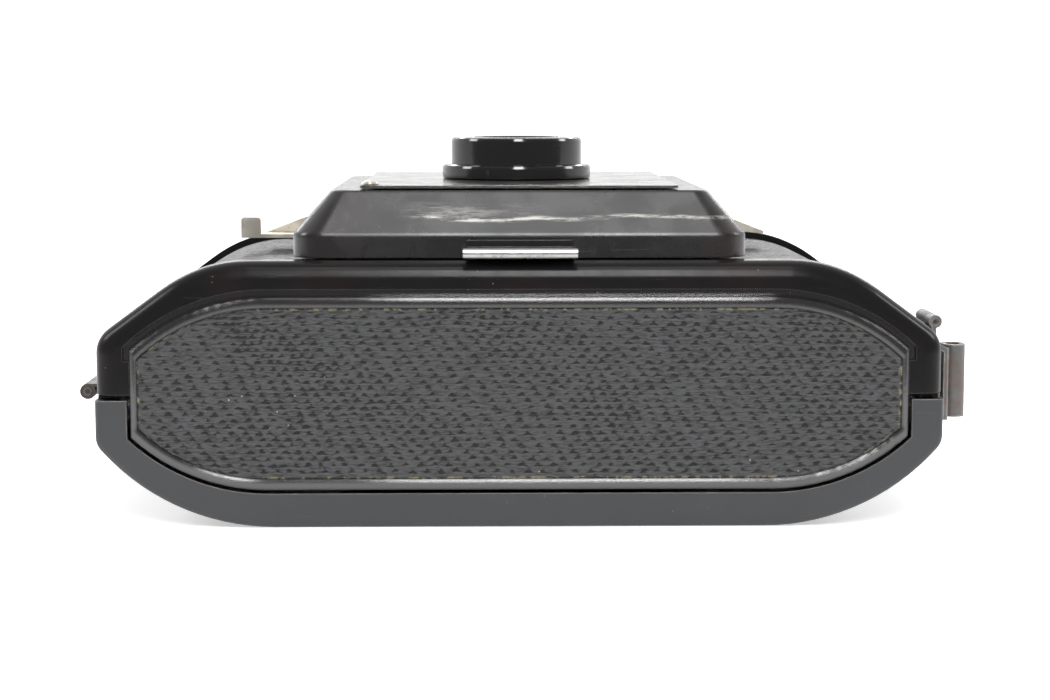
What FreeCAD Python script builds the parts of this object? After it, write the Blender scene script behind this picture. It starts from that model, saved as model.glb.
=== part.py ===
"""A pull-out roll-film camera with a black enamelled steel body, a hinged back and a telescoping lens front.

The camera lies on its back with the lens pointing up (+Z). X runs along the film, from the back's hinge (-X)
to its latch (+X). Y runs from the bottom end (-Y) to the top end (+Y), which carries the winding knob and the
viewfinder. The origin is the middle of the plane that the back rests on. Millimetres throughout.
"""
import FreeCAD, Part
import math
import os

import Sketcher
from FreeCAD import Placement, Rotation, Vector

doc = FreeCAD.newDocument("Camera")

# ---------------------------------------------------------------- driving dimensions
# alias, value in millimetres (degrees where it says so), what it is
SIZES = [
    ("body_width", 138.4, "across the body, side to side"),
    ("body_length", 86.0, "bottom end face to top end face"),
    ("body_depth", 43.6, "back rest plane to the rims' front"),
    ("part_line", 21.4, "height of the joint between front casing and back"),
    ("part_gap", 0.9, "open joint between front casing and back"),
    ("shoulder_reach", 25.0, "from the side to where the front turns into the shoulder"),
    ("shoulder_radius", 24.0, "round from the front flat into the shoulder"),
    ("shoulder_slope", 36.5, "angle of the shoulder, degrees"),
    ("side_radius", 5.0, "round from the shoulder into the side"),
    ("base_reach", 29.0, "from the side to where the flat of the back ends"),
    ("base_radius", 37.5, "round of the back towards the side"),
    ("base_corner", 3.5, "round from the back into the side"),
    ("steel", 0.8, "sheet thickness of the pressed casings"),
    ("leather", 0.5, "thickness of the leatherette"),
    ("rim_step", 1.2, "how far the front casing's rims stand above the leatherette"),
    ("rim_length", 6.0, "length of each enamelled rim along the camera"),
    ("rim_round", 3.4, "round of the front casing's rims"),
    ("back_round", 0.9, "round of the back's rims"),
    ("panel_side", 7.0, "from the side to the end leatherette panel"),
    ("panel_low", 8.1, "lower edge of the end panel"),
    ("panel_top", 7.6, "from the front down to the end panel"),
    ("panel_reach", 20.9, "from the end panel's upright ends to its straight edges"),
    ("panel_radius", 30.5, "round of the end panel's ends"),
    ("bead_width", 1.8, "raised bead round the end panel, along its long edges"),
    ("bead_side", 1.1, "the same bead along its short edges"),
    ("bead_height", 0.7, "how far the bead stands out of the end face"),
    ("bead_round", 0.45, "round of the bead's two edges"),
    ("valley", 1.2, "groove between that bead and the front rim"),
    ("valley_rise", 6.0, "from the joint up to where that groove starts"),
    ("panel_gap", 0.65, "open gap between the end plate and the back's rim"),
    ("plate_inset", 3.2, "the end plate's flange inside the casing's outline"),
    ("skirt_depth", 3.2, "the end plate's light-trap skirt"),
    ("lip_gap", 0.3, "between the front casing's inner lips and the back"),
    ("lip_reach", 3.5, "how far those lips reach into the back"),
    ("lip_root", 2.8, "height of those lips' roots on the side walls"),
    ("fit", 0.1, "clearance of parts that are assembled and stay"),
    ("slide", 0.15, "clearance of the telescoping lips"),
    ("run", 0.05, "radial clearance of turning pins"),
    ("tunnel_margin", 1.4, "from the picture's edge to the outside of the inner tunnel"),
    ("tunnel_wall", 0.7, "wall of the telescoping tunnels"),
    ("tunnel_space", 1.0, "space between one tunnel and the next"),
    ("tunnel_corner", 2.0, "corner round of the inner tunnel"),
    ("lip", 1.2, "height of the tunnels' stop lips"),
    ("stage_travel", 20.0, "travel of each tunnel stage"),
    ("collar_flange", 2.0, "how far the collar's flange reaches past it"),
    ("tunnel_floor", 10.2, "lowest point of the middle tunnel"),
    ("frame_x", 54.0, "picture width along the film"),
    ("frame_y", 63.5, "picture height across the film"),
    ("gate_low", 5.6, "film side of the film gate"),
    ("gate_high", 9.7, "lens side of the film gate"),
    ("gate_rail", 3.2, "from the picture's edge to the gate block's edge"),
    ("cheek_room", 4.2, "from the gate's cheeks to the end plates"),
    ("cheek_wall", 1.0, "thickness of the gate's cheeks"),
    ("shelf", 0.8, "thickness of the chamber walls"),
    ("roller_room", 2.4, "from the gate block's edge to a film roller's axis"),
    ("chamber_room", 3.4, "from a film roller's axis to the spool chamber"),
    ("roller_radius", 1.7, "film roller"),
    ("roller_pin", 0.8, "film roller's pin"),
    ("roller_lift", 1.3, "from the gate's film side up to the rollers' axes"),
    ("roller_play", 0.3, "end play of the film rollers"),
    ("spool_room", 2.2, "from a spool's flanges to the chamber wall"),
    ("spool_z", 20.5, "spool axes, height"),
    ("spool_flange", 11.8, "spool flange radius"),
    ("spool_core", 3.2, "spool core radius"),
    ("spool_bore", 2.1, "radius of the spool's end holes"),
    ("spool_play", 3.5, "from a spool's end to the end plate"),
    ("spool_plate", 0.8, "spool flange thickness"),
    ("hinge_out", 2.5, "how far the hinge axis stands out of the side"),
    ("hinge_radius", 1.3, "hinge knuckle"),
    ("hinge_pin_radius", 0.7, "hinge pin"),
    ("hinge_short", 9.0, "from the body's ends to the hinge"),
    ("leaf", 0.5, "hinge and latch leaf thickness"),
    ("leaf_height", 6.2, "height of each hinge leaf on the side"),
    ("latch_out", 0.3, "how far the latch pivot stands out of the side"),
    ("latch_down", 10.9, "from the front down to the latch pivot"),
    ("latch_radius", 1.1, "latch knuckle"),
    ("latch_pin_radius", 0.5, "latch pin"),
    ("latch_short", 10.0, "from the bottom end to the latch"),
    ("latch_length", 12.0, "length of the latch"),
    ("latch_space", 1.8, "from the side to the latch plate's inner face"),
    ("latch_bite", 5.3, "from the joint down to the latch plate's lower edge"),
    ("latch_drop", 3.9, "from the latch pivot down to the top of the finger loop"),
    ("loop_width", 3.9, "how far the finger loop stands out"),
    ("loop_length", 5.2, "length of the finger loop"),
    ("hood_over_x", 5.5, "how far the lens hood reaches past the collar across the camera"),
    ("hood_over_y", 2.9, "how far the lens hood reaches past the collar along the camera"),
    ("hood_corner", 5.0, "corner round of the hood's skirt"),
    ("hood_clear", 0.3, "gap between the hood's skirt and the rims"),
    ("hood_skirt", 3.8, "height of the hood's upright skirt"),
    ("hood_slope", 6.1, "how far the hood's sloping sides lean in"),
    ("hood_rise", 7.0, "height of the hood's sloping sides"),
    ("hood_top_corner", 2.6, "corner round of the hood's top"),
    ("hood_edge", 0.9, "round of the hood's edges"),
    ("plate_in_x", 4.8, "from the hood's top edge to the lens plate across the camera"),
    ("plate_in_y", 0.4, "from the hood's top edge to the lens plate along the camera"),
    ("plate_thick", 0.45, "lens plate thickness"),
    ("plate_lift", 0.3, "gap under the lens plate"),
    ("flange_step", 1.65, "how far the lens flange reaches past the lens ring"),
    ("flange_height", 2.6, "lens flange height"),
    ("ring_radius", 11.6, "lens ring, the seat of push-on accessories"),
    ("ring_height", 4.8, "lens ring height above its flange"),
    ("ring_wall", 2.0, "from the lens barrel to the outside of the lens ring"),
    ("bezel", 2.0, "how far the lens ring closes in over the barrel"),
    ("barrel_wall", 3.0, "from the lens elements to the outside of the barrel"),
    ("stop_radius", 3.6, "fixed lens stop"),
    ("tab_half", 9.3, "half width of the pull tabs"),
    ("tab_reach", 4.5, "how far the pull tabs stand out of the hood"),
    ("tab_thick", 0.8, "pull tab thickness"),
    ("tab_lift", 1.8, "from the hood's lower edge up to the top of the pull tabs"),
    ("tab_heel", 1.2, "how far a pull tab's heel rises above it"),
    ("tab_roll", 0.85, "radius of a pull tab's rolled front edge"),
    ("tab_step", 0.5, "how much wider the rolled edge is than the tab, at each end"),
    ("lever_up", 1.0, "from the hood's lower edge up to the shutter release"),
    ("lever_thick", 0.7, "shutter release thickness"),
    ("lever_pivot_x", -21.0, "pivot of the shutter release"),
    ("lever_out", 11.9, "how far the shutter release stands out of the hood"),
    ("lever_width", 4.0, "width of the shutter release"),
    ("lever_post", 1.2, "radius of the shutter release's post"),
    ("lever_eye", 2.6, "radius of the eye round that post"),
    ("lever_room", 0.35, "room above and below the shutter release in its openings"),
    ("lever_tab", 3.7, "height of its finger tab"),
    ("board_thick", 1.0, "shutter board thickness"),
    ("board_drop", 2.1, "from the hood's top wall down to the shutter board"),
    ("post_x", 24.0, "shutter board posts, across the camera"),
    ("post_y", 28.0, "shutter board posts, along the camera"),
    ("sector_x", 12.0, "from the lens axis to the sector's pivot, across the camera"),
    ("sector_y", 11.0, "from the lens axis to the sector's pivot, along the camera"),
    ("sector_drop", 2.3, "from the shutter board down to the sector"),
    ("sector_thick", 0.3, "shutter sector thickness"),
    ("sector_post", 0.9, "radius of the sector's pivot"),
    ("sector_cover", 5.6, "how far the sector covers each side of the lens stop's middle"),
    ("time_start", 0.5, "near end of the time slide's slot"),
    ("time_end", 11.5, "far end of that slot"),
    ("time_y", 22.0, "its edge nearest the lens"),
    ("time_width", 2.4, "its width"),
    ("knob_radius", 11.0, "winding knob"),
    ("knob_height", 8.0, "winding knob"),
    ("knob_lift", 1.2, "gap under the winding knob"),
    ("shaft_radius", 2.6, "winding shaft"),
    ("finder_half", 8.0, "half width of the viewfinder"),
    ("finder_foot", 2.3, "how far the viewfinder's feet reach past it"),
    ("finder_wall", 1.0, "wall of the viewfinder"),
    ("finder_height", 12.5, "how far the viewfinder stands out"),
    ("finder_low", 9.0, "eye end of the viewfinder"),
    ("finder_high", 34.4, "front end of the viewfinder"),
    ("window_radius", 4.0, "red film-number windows"),
    ("window_flange", 1.2, "how far a window's ring reaches past the hole"),
    ("window_lip", 0.7, "how far the ring closes in over the hole"),
    ("window_y", 12.0, "red windows, distance from the middle"),
]


class Size:
    """A length that knows its value and the spreadsheet expression behind it."""

    def __init__(self, text, value):
        self.text = text
        self.value = value

    def __add__(self, other):
        other = as_size(other)
        return Size(f"({self.text} + {other.text})", self.value + other.value)

    def __sub__(self, other):
        other = as_size(other)
        return Size(f"({self.text} - {other.text})", self.value - other.value)

    def __mul__(self, other):
        other = as_size(other)
        return Size(f"({self.text} * {other.text})", self.value * other.value)

    def __truediv__(self, other):
        other = as_size(other)
        return Size(f"({self.text} / {other.text})", self.value / other.value)

    def __neg__(self):
        return Size(f"(0 - {self.text})", -self.value)

    __radd__ = __add__
    __rmul__ = __mul__

    def __rsub__(self, other):
        return as_size(other) - self


def as_size(value):
    return value if isinstance(value, Size) else Size(f"({float(value)})", float(value))


class Sheet:
    """The spreadsheet of driving dimensions, read as attributes."""

    def __init__(self):
        sheet = doc.addObject("Spreadsheet::Sheet", "Sizes")
        for row, (alias, value, note) in enumerate(SIZES, 1):
            sheet.set(f"A{row}", str(value))
            sheet.setAlias(f"A{row}", alias)
            sheet.set(f"B{row}", note)
            setattr(self, alias, Size(f"Sizes.{alias}", value))


S = Sheet()
doc.recompute()

# ---------------------------------------------------------------- modelling helpers
TURN = {
    "X": Rotation(Vector(0, 1, 0), 90),
    "Y": Rotation(Vector(1, 0, 0), -90),
    "Z": Rotation(),
}
ENDS = {"bottom": -1, "top": 1}


def bind(obj, path, size):
    """Sets a property and keeps it bound to the spreadsheet."""
    obj.setExpression(path, as_size(size).text)


def place(obj, x, y, z, rotation=None):
    """Puts an object's origin at a point whose three coordinates follow the spreadsheet."""
    spot = [as_size(v) for v in (x, y, z)]
    obj.Placement = Placement(Vector(*[v.value for v in spot]), rotation or Rotation())
    for axis, value in zip("xyz", spot):
        bind(obj, f"Placement.Base.{axis}", value)
    return obj


def block(label, x, y, z):
    """A box between the low and high values given for each axis."""
    obj = doc.addObject("Part::Box", label)
    for prop, (low, high) in zip(("Length", "Width", "Height"), (x, y, z)):
        bind(obj, prop, as_size(high) - low)
    return place(obj, x[0], y[0], z[0])


def middle(half):
    """The span from -half to +half."""
    return (-as_size(half), as_size(half))


def rod(label, axis, x, y, z, radius, length):
    """A cylinder that starts at a point and runs along one axis."""
    obj = doc.addObject("Part::Cylinder", label)
    bind(obj, "Radius", radius)
    bind(obj, "Height", length)
    return place(obj, x, y, z, TURN[axis])


def join(label, *parts):
    obj = doc.addObject("Part::MultiFuse", label)
    obj.Shapes = list(parts)
    return obj


def cut(label, base, *tools):
    obj = doc.addObject("Part::Cut", label)
    obj.Base = base
    obj.Tool = tools[0] if len(tools) == 1 else join(label + "_cuts", *tools)
    return obj


def meet(label, one, other):
    obj = doc.addObject("Part::Common", label)
    obj.Base = one
    obj.Tool = other
    return obj


def rounded(label, base, radius, wanted):
    """Rounds the edges of base for which wanted(edge) is true."""
    doc.recompute()
    obj = doc.addObject("Part::Fillet", label)
    obj.Base = base
    edges = [n for n, edge in enumerate(base.Shape.Edges, 1) if wanted(edge)]
    if not edges:
        raise RuntimeError(f"{label}: no edge to round")
    r = as_size(radius).value
    obj.Edges = [(n, r, r) for n in edges]
    return obj


def upright(edge):
    """True for a straight edge along Z."""
    return len(edge.Vertexes) == 2 and abs(edge.tangentAt(edge.FirstParameter).z) > 0.999


def lies_at(axis, size):
    """A test for edges that lie wholly in the plane where axis has that value."""
    level = as_size(size).value

    def test(edge):
        box = edge.BoundBox
        low, high = getattr(box, axis + "Min"), getattr(box, axis + "Max")
        return abs(low - level) < 1e-4 and abs(high - level) < 1e-4

    return test


def turned(label, axis, x, y, z, section):
    """A turned part: a half section of (radius, distance along the axis) points, revolved in its own body."""
    body = doc.addObject("PartDesign::Body", label)
    sketch = body.newObject("Sketcher::SketchObject", label + "_section")
    plane = [f for f in body.Origin.OriginFeatures if f.Role == "XZ_Plane"][0]
    sketch.AttachmentSupport = [(plane, "")]
    sketch.MapMode = "FlatFace"
    polygon(sketch, section)
    spin = body.newObject("PartDesign::Revolution", label + "_turning")
    spin.Profile = sketch
    spin.ReferenceAxis = (sketch, ["V_Axis"])
    spin.Angle = 360
    return place(body, x, y, z, TURN[axis])


def polygon(sketch, points):
    """A closed run of straight lines whose corners are all bound to the spreadsheet."""
    points = [(as_size(a), as_size(b)) for a, b in points]
    corners = [Vector(a.value, b.value, 0) for a, b in points]
    count = len(corners)
    for n, corner in enumerate(corners):
        sketch.addGeometry(Part.LineSegment(corner, corners[(n + 1) % count]))
    for n, (a, b) in enumerate(points):
        sketch.addConstraint(Sketcher.Constraint("Coincident", (n - 1) % count, 2, n, 1))
        locate(sketch, "DistanceX", n, a)
        locate(sketch, "DistanceY", n, b)


def locate(sketch, kind, line, size):
    """Fixes one coordinate of a line's start point."""
    if size.value == 0:
        axis = -2 if kind == "DistanceX" else -1
        sketch.addConstraint(Sketcher.Constraint("PointOnObject", line, 1, axis))
    else:
        drive(sketch, size, kind, -1, 1, line, 1)


def drive(sketch, size, kind, *where):
    """A dimension in a sketch that follows the spreadsheet."""
    size = as_size(size)
    value = math.radians(size.value) if kind == "Angle" else size.value
    number = sketch.addConstraint(Sketcher.Constraint(kind, *where, value))
    unit = " * 1 deg" if kind == "Angle" else ""
    sketch.setExpression(f"Constraints[{number}]", size.text + unit)


def arc(cx, cy, radius, start, end):
    circle = Part.Circle(Vector(cx, cy, 0), Vector(0, 0, 1), radius)
    return Part.ArcOfCircle(circle, math.radians(start), math.radians(end))


def line(x1, y1, x2, y2):
    return Part.LineSegment(Vector(x1, y1, 0), Vector(x2, y2, 0))


def end_view_sketch(name):
    """An empty sketch in the end view: its x is the camera's X, its y is the camera's Z."""
    sketch = doc.addObject("Sketcher::SketchObject", name)
    sketch.Placement = Placement(Vector(), Rotation(Vector(1, 0, 0), 90))
    return sketch


def outline(name, inset):
    """The body's outline in the end view, drawn in from the rims by inset: front flat, round shoulders, sides
    and the rounder back. Every joint between two stretches is tangent."""
    inset = as_size(inset)
    half, top = S.body_width / 2 - inset, S.body_depth - inset
    shoulder, side = S.shoulder_radius - inset, S.side_radius - inset
    base, corner = S.base_radius - inset, S.base_corner - inset
    w, t, b = half.value, top.value, inset.value
    rs, rc, rb, rl = shoulder.value, side.value, base.value, corner.value
    fs, fb = SHOULDER_FLAT.value, BASE_FLAT.value
    slope = S.shoulder_slope.value
    a = math.radians(slope)
    # where the shoulder's slope ends, and the centre of the round into the side
    sx, sz = fs + rs * math.sin(a), t - rs * (1 - math.cos(a))
    cz = sz - (w - sx) * math.tan(a) - rc * math.tan((math.pi / 2 - a) / 2)
    ex, ez = w - rc + rc * math.sin(a), cz + rc * math.cos(a)
    # the round of the back runs inside into the corner at the side
    lz = b + rb - math.sqrt((rb - rl) ** 2 - (w - rl - fb) ** 2)
    turn = math.degrees(math.atan2(lz - b - rb, w - rl - fb))
    sketch = end_view_sketch(name)
    sketch.addGeometry(
        [
            line(-fb, b, fb, b),
            arc(fb, b + rb, rb, -90, turn),
            arc(w - rl, lz, rl, turn, 0),
            line(w, lz, w, cz),
            arc(w - rc, cz, rc, 0, 90 - slope),
            line(ex, ez, sx, sz),
            arc(fs, t - rs, rs, 90 - slope, 90),
            line(fs, t, -fs, t),
            arc(-fs, t - rs, rs, 90, 90 + slope),
            line(-sx, sz, -ex, ez),
            arc(rc - w, cz, rc, 90 + slope, 180),
            line(-w, cz, -w, lz),
            arc(rl - w, lz, rl, 180, 180 - turn),
            arc(-fb, b + rb, rb, 180 - turn, 270),
        ]
    )
    count = 14
    for n in range(count):
        sketch.addConstraint(Sketcher.Constraint("Tangent", n, 2, (n + 1) % count, 1))
    for flat in (0, 7):
        sketch.addConstraint(Sketcher.Constraint("Symmetric", flat, 1, flat, 2, -2))
    for upright_side in (3, 11):
        sketch.addConstraint(Sketcher.Constraint("Vertical", upright_side))
    for one, other, radius in ((6, 8, shoulder), (4, 10, side), (2, 12, corner), (1, 13, base)):
        drive(sketch, radius, "Radius", one)
        sketch.addConstraint(Sketcher.Constraint("Equal", one, other))
    sketch.addConstraint(Sketcher.Constraint("Equal", 5, 9))
    drive(sketch, 180 - S.shoulder_slope, "Angle", 5)
    drive(sketch, half, "DistanceX", -1, 1, 3, 1)
    drive(sketch, -half, "DistanceX", -1, 1, 11, 1)
    drive(sketch, SHOULDER_FLAT, "DistanceX", -1, 1, 7, 1)
    drive(sketch, BASE_FLAT, "DistanceX", -1, 1, 0, 2)
    drive(sketch, top, "DistanceY", -1, 1, 7, 1)
    locate(sketch, "DistanceY", 0, inset)
    return sketch


def panel_outline(name, grow, grow_side):
    """The outline of an end panel: two straight edges, four rounds and two upright ends."""
    half = PANEL_HALF + grow_side
    low, high = S.panel_low - grow, PANEL_HIGH + grow
    radius = S.panel_radius + grow
    w, b, t, r, f = half.value, low.value, high.value, radius.value, PANEL_FLAT.value
    rise = r - math.sqrt(r * r - (w - f) ** 2)
    turn = math.degrees(math.asin((w - f) / r))
    sketch = end_view_sketch(name)
    sketch.addGeometry(
        [
            line(-f, b, f, b),
            arc(f, b + r, r, -90, turn - 90),
            line(w, b + rise, w, t - rise),
            arc(f, t - r, r, 90 - turn, 90),
            line(f, t, -f, t),
            arc(-f, t - r, r, 90, 90 + turn),
            line(-w, t - rise, -w, b + rise),
            arc(-f, b + r, r, 270 - turn, 270),
        ]
    )
    for one, other in ((0, 1), (3, 4), (4, 5), (7, 0)):
        sketch.addConstraint(Sketcher.Constraint("Tangent", one, 2, other, 1))
    for one, other in ((1, 2), (2, 3), (5, 6), (6, 7)):
        sketch.addConstraint(Sketcher.Constraint("Coincident", one, 2, other, 1))
    for flat in (0, 4):
        sketch.addConstraint(Sketcher.Constraint("Symmetric", flat, 1, flat, 2, -2))
    for side in (2, 6):
        sketch.addConstraint(Sketcher.Constraint("Vertical", side))
    drive(sketch, radius, "Radius", 1)
    for other in (3, 5, 7):
        sketch.addConstraint(Sketcher.Constraint("Equal", 1, other))
    drive(sketch, half, "DistanceX", -1, 1, 2, 1)
    drive(sketch, -half, "DistanceX", -1, 1, 6, 1)
    drive(sketch, PANEL_FLAT, "DistanceX", -1, 1, 0, 2)
    drive(sketch, PANEL_FLAT, "DistanceX", -1, 1, 4, 1)
    drive(sketch, high, "DistanceY", -1, 1, 4, 1)
    drive(sketch, low, "DistanceY", -1, 1, 0, 1)
    return sketch


def rectangle(name, half_x, half_y, radius, z):
    """A rounded rectangle round the Z axis, at height z."""
    half_x, half_y, radius = as_size(half_x), as_size(half_y), as_size(radius)
    a, b, r = half_x.value, half_y.value, radius.value
    sketch = doc.addObject("Sketcher::SketchObject", name)
    sketch.addGeometry(
        [
            line(r - a, -b, a - r, -b),
            arc(a - r, r - b, r, -90, 0),
            line(a, r - b, a, b - r),
            arc(a - r, b - r, r, 0, 90),
            line(a - r, b, r - a, b),
            arc(r - a, b - r, r, 90, 180),
            line(-a, b - r, -a, r - b),
            arc(r - a, r - b, r, 180, 270),
        ]
    )
    for n in range(8):
        sketch.addConstraint(Sketcher.Constraint("Tangent", n, 2, (n + 1) % 8, 1))
    for n in (0, 4):
        sketch.addConstraint(Sketcher.Constraint("Horizontal", n))
    for n in (2, 6):
        sketch.addConstraint(Sketcher.Constraint("Vertical", n))
    drive(sketch, radius, "Radius", 1)
    for other in (3, 5, 7):
        sketch.addConstraint(Sketcher.Constraint("Equal", 1, other))
    drive(sketch, half_x, "DistanceX", -1, 1, 2, 1)
    drive(sketch, -half_x, "DistanceX", -1, 1, 6, 1)
    drive(sketch, half_y, "DistanceY", -1, 1, 4, 1)
    drive(sketch, -half_y, "DistanceY", -1, 1, 0, 1)
    return place(sketch, 0, 0, z)


def prism(label, sketch, span, direction=Vector(0, 1, 0)):
    """The sketch pushed along a direction, from the first value of span to the second."""
    obj = doc.addObject("Part::Extrusion", label)
    obj.Base = sketch
    obj.DirMode = "Custom"
    obj.Dir = direction
    obj.Solid = True
    bind(obj, "LengthFwd", span[1])
    bind(obj, "LengthRev", -as_size(span[0]))
    return obj


def slab(label, half_x, half_y, radius, z):
    """A plate with rounded corners round the Z axis."""
    sketch = rectangle(label + "_outline", half_x, half_y, radius, z[0])
    return prism(label, sketch, (0, as_size(z[1]) - z[0]), Vector(0, 0, 1))


NODES = []


def node(obj, label):
    """Marks an object as a finished sub-part with the name of its file."""
    obj.Label = label
    NODES.append(obj)
    return obj


# ---------------------------------------------------------------- shared outlines
HALF = S.body_length / 2
HALF_W = S.body_width / 2
SHOULDER_FLAT = HALF_W - S.shoulder_reach
BASE_FLAT = HALF_W - S.base_reach
PANEL_HALF = HALF_W - S.panel_side
PANEL_FLAT = PANEL_HALF - S.panel_reach
PANEL_HIGH = S.body_depth - S.panel_top
FRONT_STEEL = S.rim_step + S.leather
FRONT_INNER = FRONT_STEEL + S.steel
BACK_INNER = S.leather + S.steel
RIM_START = HALF - S.rim_length
FRONT_LOW = S.part_line + S.part_gap / 2
BACK_HIGH = S.part_line - S.part_gap / 2
PLATE_IN = HALF - S.steel - S.steel
FINDER_SEAT = HALF - S.leather / 2
FINDER_FOOT = S.finder_half + S.finder_foot
SIDE_FACE = HALF_W - S.rim_step
FRONT_SKIN = S.body_depth - S.rim_step
FRONT_INSIDE = S.body_depth - FRONT_INNER
WIDE = middle(S.body_width)

rim_outline = outline("rim_outline", 0)
skin_outline = outline("skin_outline", S.rim_step)
front_steel_outline = outline("front_steel_outline", FRONT_STEEL)
front_cavity_outline = outline("front_cavity_outline", FRONT_INNER)
back_steel_outline = outline("back_steel_outline", S.leather)
back_cavity_outline = outline("back_cavity_outline", BACK_INNER)
flange_outline = outline("flange_outline", S.plate_inset)
leather_outline = panel_outline("leather_outline", 0, 0)
bead_outline = panel_outline("bead_outline", S.bead_width, S.bead_side)
seat_outline = panel_outline("seat_outline", S.bead_width + S.fit, S.bead_side + S.fit)
valley_outline = panel_outline("valley_outline", S.bead_width + S.valley, S.bead_side + S.valley)
gap_outline = panel_outline("gap_outline", S.bead_width + S.panel_gap, S.bead_side + S.panel_gap)

# half sizes of the telescoping tunnels, from the inside out
INNER = (S.frame_x / 2 + S.tunnel_margin, S.frame_y / 2 + S.tunnel_margin)
MIDDLE_IN = tuple(h + S.tunnel_space for h in INNER)
MIDDLE = tuple(h + S.tunnel_wall for h in MIDDLE_IN)
COLLAR_IN = tuple(h + S.tunnel_space for h in MIDDLE)
COLLAR = tuple(h + S.tunnel_wall for h in COLLAR_IN)
MIDDLE_CORNER = S.tunnel_corner + S.tunnel_space + S.tunnel_wall
COLLAR_CORNER = MIDDLE_CORNER + S.tunnel_space + S.tunnel_wall
COLLAR_FLANGE = (COLLAR[0] + S.collar_flange, COLLAR[1] + S.fit)

# the gate, the rollers and the spools, from the picture outwards
GATE_HALF = S.frame_x / 2 + S.gate_rail
CHEEK = PLATE_IN - S.cheek_room
ROLLER_X = GATE_HALF + S.roller_room
ROLLER_Z = S.gate_low + S.roller_lift
CHAMBER_HALF = ROLLER_X + S.chamber_room
SPOOL_X = CHAMBER_HALF + S.spool_room + S.spool_flange
SPOOL_HALF = PLATE_IN - S.spool_play

# the lens front
HOOD = (COLLAR[0] + S.hood_over_x, COLLAR[1] + S.hood_over_y)
HOOD_FLAT = tuple(h - S.hood_slope for h in HOOD)
PLATE = (HOOD_FLAT[0] - S.plate_in_x, HOOD_FLAT[1] - S.plate_in_y)
HOOD_LOW = S.body_depth + S.hood_clear
HOOD_CREASE = HOOD_LOW + S.hood_skirt
HOOD_TOP = HOOD_CREASE + S.hood_rise
LEVER_Z = HOOD_LOW + S.lever_up
BARREL = S.ring_radius - S.ring_wall
GLASS = BARREL - S.barrel_wall
RING_BORE = BARREL - S.bezel
FLANGE = S.ring_radius + S.flange_step

# the hinge and the latch on the body's sides
HINGE_X = HALF_W + S.hinge_out
HINGE_HALF = HALF - S.hinge_short
LATCH_X = HALF_W + S.latch_out
LATCH_Z = S.body_depth - S.latch_down
LATCH_FACE = HALF_W + S.latch_space
LATCH_START = S.latch_short - HALF
LATCH_LOW = S.part_line - S.latch_bite
LATCH_HIGH = LATCH_Z - S.latch_drop


def half_of_body(label, upper):
    """Everything above, or below, the joint between front casing and back."""
    z = (FRONT_LOW, S.body_depth * 2) if upper else (-S.body_depth, BACK_HIGH)
    return block(label, WIDE, WIDE, z)


def casing(label, upper, rounding):
    """One pressed half of the body: a rim at both ends, a lower middle for the leatherette, open ends."""
    whole = prism(label + "_whole", rim_outline, middle(HALF))
    half = meet(label + "_half", whole, half_of_body(label + "_side", upper))

    def at_an_end(edge):
        box = edge.BoundBox
        level = FRONT_LOW.value if upper else BACK_HIGH.value
        flat = abs(box.ZMin - level) < 1e-4 and abs(box.ZMax - level) < 1e-4
        return not flat and abs(abs(box.YMin) - HALF.value) < 1e-4 and abs(box.YMax - box.YMin) < 1e-4

    soft = rounded(label + "_soft", half, rounding, at_an_end)
    band = block(label + "_band", WIDE, middle(RIM_START), (-S.body_depth, S.body_depth * 2))
    steel = front_steel_outline if upper else back_steel_outline
    cavity = front_cavity_outline if upper else back_cavity_outline
    waist = cut(label + "_waist", band, prism(label + "_core", steel, middle(RIM_START)))
    hollow = prism(label + "_hollow", cavity, middle(HALF - S.steel))
    ends = prism(label + "_ends", seat_outline if upper else gap_outline, middle(S.body_length))
    if upper:
        valley = prism(label + "_valley", valley_outline, middle(S.body_length))
        high = block(label + "_valley_side", WIDE, WIDE, (S.part_line + S.valley_rise, S.body_depth))
        ends = join(label + "_openings", ends, meet(label + "_valley_part", valley, high))
    return soft, waist, hollow, ends


# ---------------------------------------------------------------- body: front casing, end plates, leatherette
def front_casing():
    soft, waist, hollow, ends = casing("front", True, S.rim_round)
    mouth = slab("front_mouth", COLLAR[0] + S.fit, COLLAR[1] + S.fit, COLLAR_CORNER,
                 (FRONT_INSIDE - 1, S.body_depth + 1))
    shell = cut("front_shell_open", soft, waist, hollow, ends, mouth)
    # a lip inside each side wall, which the back closes over
    wall = HALF_W - FRONT_INNER
    inside = wall - S.lip_gap - S.steel
    long = middle(PLATE_IN - S.skirt_depth - S.lip_gap)
    lips = []
    for side in (-1, 1):
        root = block("lip_root", span(side, inside, wall), long, (FRONT_LOW, FRONT_LOW + S.lip_root))
        edge = block("lip_edge", span(side, inside, wall - S.lip_gap), long,
                     (FRONT_LOW - S.lip_reach, FRONT_LOW))
        lips += [root, edge]
    node(join("front_shell_solid", shell, *lips), "front_shell")


def span(side, near, far):
    """The stretch from near to far on the +side or -side of zero, low value first."""
    return (near, far) if side > 0 else (-as_size(far), -as_size(near))


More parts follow.
